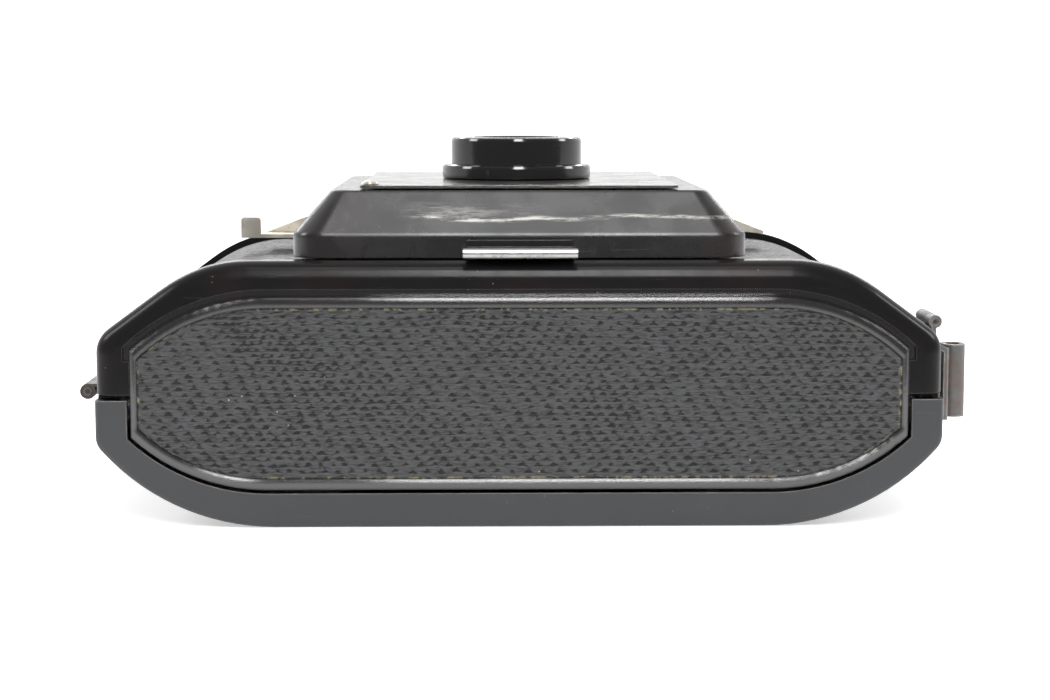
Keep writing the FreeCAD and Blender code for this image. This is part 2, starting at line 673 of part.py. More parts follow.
def end_plates():
    for name, side in ENDS.items():
        outer, inner = HALF, PLATE_IN
        disc = prism(name + "_disc", bead_outline, span(side, inner, outer))
        flange = prism(name + "_flange", flange_outline, span(side, inner, inner + S.steel))
        upper = meet(name + "_flange_upper", flange, half_of_body(name + "_upper", True))
        bead = prism(name + "_bead", bead_outline, span(side, outer, outer + S.bead_height))
        well = prism(name + "_well", leather_outline, span(side, outer - S.leather / 2, outer + 2))
        skirt = prism(name + "_skirt", bead_outline, span(side, inner - S.skirt_depth, inner))
        inside = panel_outline(name + "_skirt_inside", S.bead_width - S.steel, S.bead_side - S.steel)
        open_inside = prism(name + "_skirt_open", inside, span(side, inner - S.skirt_depth - 1, inner))
        solid = cut(name + "_plate", join(name + "_plate_parts", disc, upper, bead), well)
        edge_level = as_size(side) * (outer + S.bead_height)
        soft = rounded(name + "_plate_soft", solid, S.bead_round, lies_at("Y", edge_level))
        lower_skirt = meet(name + "_lower_skirt", skirt, half_of_body(name + "_lower", False))
        trap = cut(name + "_trap", lower_skirt, open_inside)
        holes = []
        if name == "top":
            holes.append(rod("winder_hole", "Y", -SPOOL_X, inner - 1, S.spool_z,
                             S.shaft_radius + 1.2, S.body_length))
        whole = join(name + "_plate_whole", soft, trap)
        plate = cut(name + "_plate_bored", whole, *holes) if holes else whole
        node(plate, f"end_plate_{name}")
        leather = span(side, outer - S.leather / 2, outer + S.leather / 2)
        cover = prism(name + "_cover", leather_outline, leather)
        if name == "top":
            washer = rod("knob_clear", "Y", -SPOOL_X, outer - 1, S.spool_z, S.shaft_radius + 3.4, 3)
            foot = block("finder_clear", middle(FINDER_FOOT + S.fit), (outer - 1, outer + 2),
                         (S.finder_low - S.fit, S.finder_high + S.fit))
            cover = cut(name + "_cover_cut", cover, washer, foot)
        node(cover, f"end_leather_{name}")


def body_leather():
    for label, upper in (("front_leather", True), ("back_leather", False)):
        long = middle(RIM_START - S.fit)
        skin = prism(label + "_skin", skin_outline if upper else rim_outline, long)
        core = prism(label + "_core", front_steel_outline if upper else back_steel_outline, middle(RIM_START))
        sheet = meet(label + "_half", cut(label + "_sheet", skin, core), half_of_body(label + "_side", upper))
        if upper:
            mouth = slab("leather_mouth", *[h + S.fit for h in COLLAR_FLANGE], COLLAR_CORNER,
                         (FRONT_INSIDE, S.body_depth + 1))
            node(cut(label + "_cut", sheet, mouth), label)
        else:
            holes = [rod(label + "_hole", "Z", 0, y, -1, S.window_radius + S.window_flange + S.fit, 5)
                     for y in (-S.window_y, S.window_y)]
            node(cut(label + "_cut", sheet, *holes), label)


# ---------------------------------------------------------------- body: film chamber
def film_chamber():
    """The gate block with its picture opening, the shelf over the rollers and the spool chamber walls."""
    picture = block("picture", middle(S.frame_x / 2), middle(S.frame_y / 2), (0, S.gate_high + 1))
    core = block("gate_core", middle(GATE_HALF), middle(CHEEK), (S.gate_low, S.gate_high))
    shelf = block("gate_shelf", middle(CHAMBER_HALF), middle(CHEEK), (S.gate_high - S.shelf, S.gate_high))
    parts = [core, shelf]
    for side in (-1, 1):
        parts.append(block("cheek", middle(CHAMBER_HALF), span(side, CHEEK - S.cheek_wall, CHEEK),
                           (S.gate_low, S.gate_high)))
        parts.append(block("chamber_wall", span(side, CHAMBER_HALF - S.shelf, CHAMBER_HALF),
                           middle(PLATE_IN - S.fit), (S.gate_high - S.shelf, FRONT_INSIDE)))
    notches = []
    for side in (-1, 1):
        notches.append(rod("roller_hole", "Y", side * ROLLER_X, -CHEEK - 1, ROLLER_Z,
                           S.roller_pin + S.run, CHEEK * 2 + 2))
    node(cut("film_chamber_solid", join("film_chamber_parts", *parts), picture, *notches), "film_chamber")


def film_rollers():
    long = CHEEK - S.cheek_wall - S.roller_play
    for name, side in (("left", -1), ("right", 1)):
        x = side * ROLLER_X
        sleeve = rod(name + "_sleeve", "Y", x, -long, ROLLER_Z, S.roller_radius, long * 2)
        pin_half = CHEEK + S.roller_play
        pin = rod(name + "_pin", "Y", x, -pin_half, ROLLER_Z, S.roller_pin, pin_half * 2)
        node(join(name + "_roller", sleeve, pin), f"film_roller_{name}")


def tunnel_collar():
    """The fixed collar in the front casing's mouth, with a lip at its top that holds the middle tunnel."""
    low, high = COLLAR_LOW, S.body_depth - S.rim_step + S.leather
    tube = slab("collar_tube", *COLLAR, COLLAR_CORNER, (low, high))
    flange = slab("collar_flange", *COLLAR_FLANGE, COLLAR_CORNER, (S.body_depth - FRONT_STEEL, high))
    bore = slab("collar_bore", *COLLAR_IN, COLLAR_CORNER - S.tunnel_wall, (low - 1, high - S.lip))
    mouth = slab("collar_mouth", MIDDLE[0] + S.slide, MIDDLE[1] + S.slide, MIDDLE_CORNER + S.slide,
                 (low - 1, high + 1))
    solid = cut("collar_solid", join("collar_parts", tube, flange), bore, mouth)
    node(solid, "tunnel_collar")


COLLAR_LOW = S.tunnel_floor + S.lip + S.stage_travel + S.slide


# ---------------------------------------------------------------- telescoping tunnels
MIDDLE_HIGH = FRONT_SKIN + S.leather + 0.2
INNER_LOW = MIDDLE_HIGH - S.lip - S.slide - S.stage_travel - S.lip
BOARD_Z = HOOD_TOP - S.steel - S.board_drop


def tunnels():
    low, high = S.tunnel_floor, MIDDLE_HIGH
    tube = slab("middle_tube", *MIDDLE, MIDDLE_CORNER, (low, high))
    foot = slab("middle_foot", *COLLAR, COLLAR_CORNER, (low, low + S.lip))
    bore = slab("middle_bore", *MIDDLE_IN, MIDDLE_CORNER - S.tunnel_wall, (low - 1, high - S.lip))
    mouth = slab("middle_mouth", INNER[0] + S.slide, INNER[1] + S.slide, S.tunnel_corner + S.slide,
                 (low - 1, high + 1))
    node(cut("middle_solid", join("middle_parts", tube, foot), bore, mouth), "middle_tunnel")

    low, high = INNER_LOW, BOARD_Z
    tube = slab("inner_tube", *INNER, S.tunnel_corner, (low, high))
    foot = slab("inner_foot", MIDDLE_IN[0] - S.slide, MIDDLE_IN[1] - S.slide, S.tunnel_corner + 0.6,
                (low, low + S.lip))
    bore = slab("inner_bore", INNER[0] - S.tunnel_wall, INNER[1] - S.tunnel_wall, S.tunnel_corner - 0.6,
                (low - 1, high + 1))
    node(cut("inner_solid", join("inner_parts", tube, foot), bore, lever_slot("inner_slot")), "inner_tunnel")


def lever_slot(label):
    """The opening on the left that lets the shutter release swing."""
    return block(label, (-HOOD[0] - 2, -HOOD[0] + 14), (-8.0, S.lever_width / 2 + 0.6),
                 (LEVER_Z - S.lever_room, LEVER_Z + S.lever_thick + S.lever_room))


# ---------------------------------------------------------------- lens front
def hood_solid(label, wall, low):
    """The hood's outer shape, or with a wall thickness its hollow: an upright skirt and sloping sides."""
    lean = math.atan2(S.hood_slope.value, S.hood_rise.value)
    crease = HOOD_CREASE - wall * math.tan(lean / 2)
    top = HOOD_TOP - wall
    half = (HOOD[0] - wall, HOOD[1] - wall)
    run_in = (top - crease) * S.hood_slope / S.hood_rise
    skirt = slab(label + "_skirt", *half, S.hood_corner - wall, (low, crease))
    loft = doc.addObject("Part::Loft", label + "_slopes")
    loft.Sections = [
        rectangle(label + "_crease", *half, S.hood_corner - wall, crease),
        rectangle(label + "_top", half[0] - run_in, half[1] - run_in, S.hood_top_corner - wall * 0.6, top),
    ]
    loft.Solid = True
    loft.Ruled = True
    return join(label, skirt, loft)


def lens_hood():
    outer = hood_solid("hood_outer", as_size(0), HOOD_LOW)

    def soft_edge(edge):
        box = edge.BoundBox
        level = box.ZMax - box.ZMin < 1e-4
        return level and (abs(box.ZMin - HOOD_TOP.value) < 1e-4 or abs(box.ZMin - HOOD_CREASE.value) < 1e-4)

    soft = rounded("hood_soft", outer, S.hood_edge, soft_edge)
    hollow = hood_solid("hood_hollow", S.steel, HOOD_LOW - 1)
    hole = rod("hood_hole", "Z", 0, 0, HOOD_TOP - 3, BARREL + 0.6, 6)
    node(cut("hood_shell", soft, hollow, hole, lever_slot("hood_slot")), "lens_hood")


def pull_tabs():
    """A finger tab at each end of the hood, reaching over the rim, with its front edge rolled down."""
    for name, side in ENDS.items():
        inner, outer = HOOD[1], HOOD[1] + S.tab_reach
        top = HOOD_LOW + S.tab_lift
        centre = outer - S.tab_roll
        across = middle(S.tab_half - S.tab_step)
        plate = block(name + "_tab_plate", across, span(side, inner, centre), (top - S.tab_thick, top))
        heel = block(name + "_tab_heel", across, span(side, inner, inner + S.tab_thick),
                     (HOOD_LOW, top + S.tab_heel))
        roll = rod(name + "_tab_roll", "X", -S.tab_half, side * centre, top - S.tab_roll, S.tab_roll,
                   S.tab_half * 2)
        node(join(name + "_tab", plate, heel, roll), f"pull_tab_{name}")


PLATE_LOW = HOOD_TOP + S.plate_lift
PLATE_TOP = PLATE_LOW + S.plate_thick
FLANGE_TOP = PLATE_TOP + S.flange_height
RING_TOP = FLANGE_TOP + S.ring_height


def lens_plate():
    sheet = slab("plate_sheet", PLATE[0], PLATE[1], 0.8, (PLATE_LOW, PLATE_TOP))
    pads = slab("plate_pad", BARREL + 4, BARREL + 4, 1, (HOOD_TOP, PLATE_LOW))
    hole = rod("plate_hole", "Z", 0, 0, HOOD_TOP - 1, BARREL + S.fit, 4)
    slot = block("plate_slot", (S.time_start, S.time_end), (S.time_y, S.time_y + S.time_width),
                 (HOOD_TOP - 1, PLATE_TOP + 1))
    screw_holes = [rod("plate_screw_hole", "Z", x, y, HOOD_TOP - 1, 0.75, 4) for x, y in SCREW_SPOTS]
    node(cut("plate_solid", join("plate_parts", sheet, pads), hole, slot, *screw_holes), "lens_plate")
    screws = []
    for x, y in SCREW_SPOTS:
        head = turned("plate_screw", "Z", x, y, PLATE_TOP,
                      [(0, 0), (1.45, 0), (1.45, 0.25), (1.1, 0.6), (0.55, 0.8), (0, 0.85)])
        shank = rod("plate_shank", "Z", x, y, HOOD_TOP, 0.7, PLATE_TOP - HOOD_TOP)
        screws.append(join("plate_screw_whole", head, shank))
    node(join("plate_screws_all", *screws), "plate_screws")


SCREW_SPOTS = [
    (-(PLATE[0] - 1.6), -(PLATE[1] - 2.2)),
    (as_size(0), PLATE[1] - 3.4),
]


def lens():
    """The lens flange and ring, the barrel through the plate, two cemented-size elements and their rings."""
    f, r = FLANGE, S.ring_radius
    edge = 0.6
    node(turned("flange_body", "Z", 0, 0, PLATE_TOP, [
        (BARREL + S.fit, 0), (f - 0.3, 0), (f, 0.3), (f, S.flange_height - edge),
        (f - edge * 0.3, S.flange_height - edge * 0.3), (f - edge, S.flange_height),
        (BARREL + S.fit, S.flange_height)]), "lens_flange")
    h = S.ring_height
    node(turned("ring_body", "Z", 0, 0, FLANGE_TOP, [
        (BARREL + S.fit, 0), (r, 0), (r, h - edge), (r - edge * 0.3, h - edge * 0.3),
        (r - edge, h), (RING_BORE + 0.8, h), (RING_BORE, h - 0.6), (RING_BORE, h - 1.4),
        (BARREL + S.fit, h - 1.4)]), "lens_ring")
    b = BARREL
    g = GLASS
    low, high = BOARD_Z - HOOD_TOP, FLANGE_TOP + h - 1.5 - HOOD_TOP
    seat = high - 2.8
    node(turned("barrel_body", "Z", 0, 0, HOOD_TOP, [
        (g - 1.2, low + 1.6), (S.stop_radius, low + 1.6), (S.stop_radius, low + 0.8), (g + S.fit, low + 0.8),
        (g + S.fit, low - 1.6), (b - 0.6, low - 1.6), (b - 0.6, low), (b, low), (b, high),
        (g + S.fit, high), (g + S.fit, seat), (g - 1.2, seat)]), "lens_barrel")
    # front element, a meniscus bulging forwards
    node(turned("front_glass", "Z", 0, 0, HOOD_TOP + seat, [
        (0, 0.9), (2.4, 0.8), (4.6, 0.5), (g, 0), (g, 1.2), (4.9, 1.85), (2.6, 2.3), (0, 2.5)]), "front_lens")
    node(turned("front_retainer", "Z", 0, 0, HOOD_TOP + seat + 1.6, [
        (g - 0.7, 0.45), (g, 0), (g, 1.1), (g - 1.1, 1.1)]), "lens_retainer")
    node(turned("rear_glass", "Z", 0, 0, BOARD_Z + 0.8, [
        (0, -1.9), (2.6, -1.75), (g - 0.2, -1.1), (g, -1.1), (g, 0), (0, 0)]), "rear_lens")


def shutter():
    """The shutter board under the hood's top, its swinging sector and the levers."""
    low, high = BOARD_Z, BOARD_Z + S.board_thick
    sheet = slab("board_sheet", HOOD_FLAT[0], HOOD_FLAT[1], 1.5, (low, high))
    posts = [rod("board_post", "Z", x * S.post_x, y * S.post_y, high, 1.6, HOOD_TOP - S.steel - high)
             for x in (-1, 1) for y in (-1, 1)]
    hole = rod("board_hole", "Z", 0, 0, low - 1, BARREL + S.fit, 4)
    release_low, sector_low = LEVER_Z - 1.0, SECTOR_Z - 0.6
    pivot = rod("release_post", "Z", S.lever_pivot_x, 0, release_low, S.lever_post, low - release_low)
    swing = rod("sector_post", "Z", SECTOR_X, SECTOR_Y, sector_low, S.sector_post, low - sector_low)
    solid = cut("board_solid", join("board_parts", sheet, pivot, swing, *posts), hole)
    node(solid, "shutter_board")


SECTOR_X, SECTOR_Y = -S.sector_x, -S.sector_y
SECTOR_Z = BOARD_Z - S.sector_drop
SECTOR_ARM = math.hypot(S.sector_x.value, S.sector_y.value)
# angles in degrees
SECTOR_SWING = 60.0
SECTOR_LEAD = 45.5
SECTOR_TRAIL = 16.0
SECTOR_WEB = 24.0


def shutter_sector():
    """A thin sector that swings once past the lens: solid, an opening, then solid again."""
    towards = math.degrees(math.atan2(S.sector_y.value, S.sector_x.value))
    start, end = towards - SECTOR_SWING / 2 - SECTOR_LEAD, towards + SECTOR_TRAIL
    axis = Vector(0, 0, 1)
    thick, cover = S.sector_thick.value, S.sector_cover.value
    ring = Part.makeCylinder(SECTOR_ARM + cover, thick, Vector(), axis, end - start)
    ring.rotate(Vector(), axis, start)
    notch = Part.makeCylinder(SECTOR_ARM - cover, thick, Vector(), axis, end - start - SECTOR_WEB)
    notch.rotate(Vector(), axis, start)
    hub = Part.makeCylinder(S.lever_eye.value, thick)
    angle = math.radians(towards - SECTOR_SWING / 2)
    hole = Part.makeCylinder(S.stop_radius.value + 0.6, 1,
                             Vector(SECTOR_ARM * math.cos(angle), SECTOR_ARM * math.sin(angle), -thick))
    bore = Part.makeCylinder(S.sector_post.value + S.run.value, 1, Vector(0, 0, -thick))
    obj = doc.addObject("Part::Feature", "sector_shape")
    obj.Shape = ring.cut(notch).fuse(hub).cut(hole).cut(bore)
    place(obj, SECTOR_X, SECTOR_Y, SECTOR_Z)
    node(obj, "shutter_sector")


def release_lever():
    """The shutter release: a flat strip on its post, out through the hood's side, with a finger tab."""
    z = (LEVER_Z, LEVER_Z + S.lever_thick)
    tip = -(HOOD[0] + S.lever_out)
    strip = block("release_strip", (tip, S.lever_pivot_x), middle(S.lever_width / 2), z)
    eye = rod("release_eye", "Z", S.lever_pivot_x, 0, LEVER_Z, S.lever_eye, S.lever_thick)
    tail = block("release_tail", (S.lever_pivot_x, S.lever_pivot_x + 5.5), middle(1.1), z)
    tab = block("release_tab", (tip, tip + 3.5), (-S.lever_width / 2, -S.lever_width / 2 + S.lever_thick),
                (LEVER_Z, LEVER_Z + S.lever_tab))

    def tab_corner(edge):
        box = edge.BoundBox
        return box.ZMin > (LEVER_Z + S.lever_tab).value - 0.1 and box.XMax - box.XMin < 1e-4

    soft = rounded("release_tab_soft", tab, 0.6, tab_corner)
    bore = rod("release_bore", "Z", S.lever_pivot_x, 0, LEVER_Z - 1, S.lever_post + S.run, 4)
    node(cut("release_solid", join("release_parts", strip, eye, tail, soft), bore), "release_lever")


def time_lever():
    """The small slide for time or instant exposure, in its slot in the lens plate."""
    near, inner = S.time_start + 0.5, S.time_y + S.slide
    outer = S.time_y + S.time_width - S.slide
    long, step, high = as_size(4.0), as_size(0.2), as_size(1.6)
    foot = block("time_foot", (near, near + long), (inner, outer), (PLATE_TOP - 0.5, PLATE_TOP))
    head = block("time_head", (near + step, near + long - step), (inner + step, outer - step),
                 (PLATE_TOP, PLATE_TOP + high))
    node(join("time_solid", foot, head), "time_slide")


def side_guards():
    """Nickelled guards on the hood's two sides, over the lever slots, flared outwards at the bottom."""
    for name, side in (("left", -1), ("right", 1)):
        sketch = end_view_sketch(name + "_guard_section")
        x0, z0 = HOOD[0] + 0.1, HOOD_CREASE - 0.5
        corners = [(x0, z0 - 1.2), (x0 + 7.6, z0 - 2.0), (x0 + 7.6, z0 - 1.5), (x0 + 2.2, z0 + 0.6),
                   (x0 - 0.1, z0 + 1.4), (x0, z0 + 0.2)]
        if side < 0:
            corners = [(-x, z) for x, z in corners]
        polygon(sketch, corners)
        node(prism(name + "_guard", sketch, (4.0, 14.0)), f"side_guard_{name}")


# ---------------------------------------------------------------- back
def back():
    soft, waist, hollow, ends = casing("back", False, S.back_round)
    holes = [rod("back_window_hole", "Z", 0, y, -1, S.window_radius, 5) for y in (-S.window_y, S.window_y)]
    node(cut("back_shell_solid", soft, waist, hollow, ends, *holes), "back_shell")
    rings, glasses = [], []
    eye, flange = S.window_radius - S.window_lip, S.window_radius + S.window_flange
    inside = S.leather + S.steel
    for y in (-S.window_y, S.window_y):
        rings.append(turned("window_ring", "Z", 0, y, 0, [
            (eye, 0), (flange, 0), (flange, S.leather), (S.window_radius - S.fit, S.leather),
            (S.window_radius - S.fit, inside), (eye, inside)]))
        glasses.append(rod("window_glass", "Z", 0, y, inside, flange + S.fit * 2, 0.5))
    node(join("window_rings_all", *rings), "window_rings")
    node(join("window_glass_all", *glasses), "red_windows")


PRESSURE_HALF = (GATE_HALF - 1.0, S.frame_y / 2 + 2.5)
PRESSURE_TOP = S.gate_low - S.fit
PRESSURE_THICK = as_size(0.8)


def pressure_plate():
    plate = slab("pressure_sheet", *PRESSURE_HALF, 2, (PRESSURE_TOP - PRESSURE_THICK, PRESSURE_TOP))
    views = [rod("pressure_view", "Z", 0, y, 0, S.window_radius + 1.6, 10) for y in (-S.window_y, S.window_y)]
    node(cut("pressure_solid", plate, *views), "pressure_plate")


def pressure_springs():
    """Two bowed leaf springs between the back and the pressure plate."""
    springs = []
    floor, crown = BACK_INNER, PRESSURE_TOP - PRESSURE_THICK - 0.1
    for side in (-1, 1):
        sketch = end_view_sketch("spring_section")
        polygon(sketch, [(-16.0, floor), (-11.0, floor), (-4.0, crown - 0.3), (4.0, crown - 0.3),
                         (11.0, floor), (16.0, floor), (16.0, floor + 0.3), (10.6, floor + 0.3),
                         (3.9, crown), (-3.9, crown), (-10.6, floor + 0.3), (-16.0, floor + 0.3)])
        centre = side * (S.window_y + 12)
        springs.append(prism("spring", sketch, (centre - 3, centre + 3)))
    node(join("springs_all", *springs), "pressure_springs")


# ---------------------------------------------------------------- hinge and latch
KNUCKLES = 5
KNUCKLE_GAP = 0.3


def hinge():
    """Five knuckles on one pin: three on the body's leaf and two on the back's."""
    step = HINGE_HALF * 2 / KNUCKLES
    bodies = {"body": [], "back": []}
    faces = {"body": SIDE_FACE, "back": HALF_W}
    for n in range(KNUCKLES):
        owner = "body" if n % 2 == 0 else "back"
        start = -HINGE_HALF + step * n
        y = (start + KNUCKLE_GAP / 2, start + step - KNUCKLE_GAP / 2)
        barrel = rod("knuckle", "Y", -HINGE_X, y[0], S.part_line, S.hinge_radius, y[1] - y[0])
        level = S.part_line + 0.75 if owner == "body" else S.part_line - 0.75 - S.leaf
        web = block("knuckle_web", (-HINGE_X, -faces[owner]), y, (level, level + S.leaf))
        bodies[owner] += [barrel, web]
    for owner, parts in bodies.items():
        up = owner == "body"
        face = faces[owner]
        low = S.part_line + 0.75 if up else S.part_line - 0.75 - S.leaf_height + 0.6
        high = low + S.leaf_height - (0 if up else 0.6)
        leaf = block(owner + "_leaf", (-face - S.leaf, -face), middle(HINGE_HALF), (low, high))
        bore = rod(owner + "_bore", "Y", -HINGE_X, -HINGE_HALF - 1, S.part_line,
                   S.hinge_pin_radius + S.run, HINGE_HALF * 2 + 2)
        whole = join(owner + "_leaf_parts", leaf, *parts)
        node(cut(owner + "_leaf_solid", whole, bore), f"hinge_leaf_{owner}")
    node(rod("hinge_pin_rod", "Y", -HINGE_X, -HINGE_HALF, S.part_line, S.hinge_pin_radius,
             HINGE_HALF * 2), "hinge_pin")
    heads = []
    for n in (-2, 0, 2):
        for owner, z in (("body", S.part_line + 4.6), ("back", S.part_line - 4.2)):
            heads.append(turned("hinge_rivet", "X", -faces[owner] - S.leaf - 0.5, step * n, z, [
                (0, 0), (0.5, 0.05), (0.9, 0.3), (0.9, 0.5), (0, 0.5)]))
    body_heads, back_heads = heads[0::2], heads[1::2]
    node(join("hinge_rivets_body_all", *body_heads), "hinge_rivets_body")
    node(join("hinge_rivets_back_all", *back_heads), "hinge_rivets_back")


def latch():
    """A swinging latch: knuckle on the side, arms and a plate down it, a finger loop at the near end."""
    start, end = LATCH_START, LATCH_START + S.latch_length
    third = S.latch_length / 3
    lug_gap = 0.2
    arm_y = (start, start + third - lug_gap, start + third * 2 + lug_gap, end)
    # bracket on the front casing's side and shoulder
    lug = rod("latch_lug", "Y", LATCH_X, start + third, LATCH_Z, S.latch_radius, third)
    inner_third = (start + third, end - third)
    web_high, foot_low = LATCH_Z - 0.6, FRONT_LOW + 2.2
    web = block("latch_web", (SIDE_FACE, LATCH_X), inner_third, (web_high - S.leaf, web_high))
    leaf = (SIDE_FACE, SIDE_FACE + S.leaf)
    foot = block("latch_foot", leaf, (start + 2, end - 2), (foot_low, LATCH_Z - 3.6))
    neck = block("latch_neck", leaf, inner_third, (foot_low, web_high))
    pin_hole = rod("latch_pin_hole", "Y", LATCH_X, start - 1, LATCH_Z, S.latch_pin_radius + S.run,
                   S.latch_length + 2)
    node(cut("latch_bracket_solid", join("latch_bracket_parts", lug, web, foot, neck), pin_hole),
         "latch_bracket")
    node(rod("latch_pin_rod", "Y", LATCH_X, start, LATCH_Z, S.latch_pin_radius, S.latch_length), "latch_pin")
    # the latch itself: each arm hangs close to the side and steps out to the plate
    face = LATCH_FACE
    arm = (LATCH_X - 0.6, LATCH_X - 0.6 + S.steel)
    step_low, step_high = LATCH_HIGH - 1.2, LATCH_HIGH - 0.2
    parts = []
    for y in ((arm_y[0], arm_y[1]), (arm_y[2], arm_y[3])):
        parts.append(rod("latch_knuckle", "Y", LATCH_X, y[0], LATCH_Z, S.latch_radius, y[1] - y[0]))
        sketch = end_view_sketch("latch_arm_section")
        polygon(sketch, [(arm[0], LATCH_Z), (arm[0], step_high), (face, step_low), (face, step_low - 0.4),
                         (face + S.steel, step_low - 0.4), (face + S.steel, step_low + 0.6),
                         (arm[1], step_high + 0.6), (arm[1], LATCH_Z)])
        parts.append(prism("latch_arm", sketch, y))
    parts.append(block("latch_plate", (face, face + S.steel), (start, end), (LATCH_LOW, step_low)))
    parts.append(finger_loop(face, start))
    solid = cut("latch_solid", join("latch_parts", *parts), pin_hole)
    node(solid, "latch_lever")
    keeper = block("keeper_plate", (HALF_W, HALF_W + S.leaf), (start + 3, end - 3),
                   (S.part_line - 5.6, BACK_HIGH - 0.2))
    ridge = rod("keeper_ridge", "Y", HALF_W + S.leaf, start + 4, S.part_line - 2.6, 1.1,
                S.latch_length - 8)
    keep = block("keeper_keep", (HALF_W, HALF_W + 4), (start, end), (0, S.body_depth))
    node(meet("keeper_solid", join("keeper_parts", keeper, ridge), keep), "latch_keeper")


def finger_loop(face, start):
    """The latch's near edge curled outwards into a flat loop whose axis is upright."""
    outer_r = S.loop_width / 2
    z = (LATCH_LOW + 0.5, LATCH_HIGH)
    cx, near, far = face + outer_r, start + outer_r, start + S.loop_length - outer_r
    shells = []
    for inset in (as_size(0), S.steel):
        r = outer_r - inset
        ends = [rod("loop_end", "Z", cx, y, z[0], r, z[1] - z[0]) for y in (near, far)]
        flat = block("loop_flat", (cx - r, cx + r), (near, far), z)
        shells.append(join("loop_shell", flat, *ends))
    return cut("loop_solid", *shells)


# ---------------------------------------------------------------- film transport
KEY_HALF = as_size(0.5)
KNOB_RIBS = 30
RATCHET_TEETH = 16


def spool(label, x):
    """A metal spool: a hollow core with a flange at each end and a key slot in its top end."""
    f, c, h, p = S.spool_flange, S.spool_core, SPOOL_HALF, S.spool_plate
    body = turned(label + "_turned", "Y", x, 0, S.spool_z, [
        (S.spool_bore, -h), (f, -h), (f, p - h), (c, p - h),
        (c, h - p), (f, h - p), (f, h), (S.spool_bore, h)])
    slot_half, slot_deep, slot_high = c - 0.3, 4, KEY_HALF + 0.2
    slot = block(label + "_slot", (x - slot_half, x + slot_half), (h - slot_deep, h + 1),
                 (S.spool_z - slot_high, S.spool_z + slot_high))
    return cut(label + "_slotted", body, slot)


def winder():
    x, z = -SPOOL_X, S.spool_z
    node(spool("take_up", x), "take_up_spool")
    outside = HALF + S.leather / 2 + S.knob_lift
    k, kh = S.knob_radius, S.knob_height
    cap = turned("knob_cap", "Y", x, outside, z, [
        (0, 0.8), (2.0, 0.8), (2.0, 0), (k - 1.2, 0), (k - 0.4, 0.6), (k - 0.4, kh - 1.4), (k - 1.6, kh),
        (k - 4.0, kh), (k - 4.6, kh - 0.6), (0, kh - 0.6)])
    ribs = []
    rib = as_size(0.55)
    for n in range(KNOB_RIBS):
        angle = 2 * math.pi * n / KNOB_RIBS
        ribs.append(rod("knob_rib", "Y", x + math.cos(angle) * (k - rib), outside + 0.8,
                        z + math.sin(angle) * (k - rib), rib, kh - 2.4))
    node(join("knob_whole", cap, *ribs), "winding_knob")
    shaft = S.shaft_radius
    shaft_low = SPOOL_HALF + 0.4
    rod_out = rod("shaft_rod", "Y", x, shaft_low, z, shaft, outside + 0.8 - shaft_low)
    core = rod("shaft_core", "Y", x, shaft_low, z, 2.0, outside + 0.8 - shaft_low)
    neck = cut("shaft_neck", rod_out, rod("shaft_step", "Y", x, outside, z, shaft + 1, 2))
    key_reach = S.spool_core - 0.6
    key = block("shaft_key", (x - key_reach, x + key_reach), (SPOOL_HALF - 3, shaft_low + 0.2),
                (z - KEY_HALF, z + KEY_HALF))
    node(join("shaft_whole", neck, core, key), "winding_shaft")
    teeth = []
    wheel_y, wheel_radius, wheel_thick = PLATE_IN - 2.2, 5.6, 1.0
    wheel = rod("ratchet_disc", "Y", x, wheel_y, z, wheel_radius, wheel_thick)
    for n in range(RATCHET_TEETH):
        angle = 2 * math.pi * n / RATCHET_TEETH
        reach = wheel_radius + 0.1
        teeth.append(rod("ratchet_tooth", "Y", x + math.cos(angle) * reach, wheel_y,
                         z + math.sin(angle) * reach, 0.6, wheel_thick))
    hole = rod("ratchet_hole", "Y", x, PLATE_IN - 3, z, shaft, 3)
    node(cut("ratchet_solid", join("ratchet_parts", wheel, *teeth), hole), "ratchet_wheel")
    # bush in the end plate, click spring beside the ratchet
    skin = HALF + S.leather / 2 - PLATE_IN
    bore, inner_flange, outer_flange = shaft + S.run, shaft + 2.6, shaft + 3.0
    node(turned("bush_body", "Y", x, PLATE_IN, z, [
        (bore, -0.9), (inner_flange, -0.9), (inner_flange, 0), (shaft + 1.2, 0), (shaft + 1.2, skin),
        (outer_flange, skin), (outer_flange, skin + 0.6), (bore, skin + 0.6)]), "winder_bush")
    click_z, click_end = z + wheel_radius + 1.0, x + 12.0
    beside_wheel = (wheel_y, wheel_y + wheel_thick)
    leaf = block("click_leaf", (x - 1.0, click_end), beside_wheel, (click_z, click_z + 0.3))
    base = block("click_base", (click_end - 3, click_end), (wheel_y, PLATE_IN), (click_z, click_z + 0.8))
    node(join("click_whole", leaf, base), "click_spring")


def spool_pivots():
    """The three fixed studs that carry the spools' other ends, each on a small leaf on its end plate."""
    reach = PLATE_IN - SPOOL_HALF + 2.6
    for label, x, side in (("spool_stud_take_up", -SPOOL_X, -1), ("spool_stud_supply_bottom", SPOOL_X, -1),
                           ("spool_stud_supply_top", SPOOL_X, 1)):
        leaf = block(label + "_leaf", (x - 5, x + 5), span(side, PLATE_IN - 0.6, PLATE_IN),
                     (S.spool_z - 3.5, S.spool_z + 3.5))
        y = -PLATE_IN if side < 0 else PLATE_IN - reach
        stud = rod(label + "_stud", "Y", x, y, S.spool_z, S.spool_bore - 0.15, reach)
        node(join(label + "_whole", leaf, stud), label)


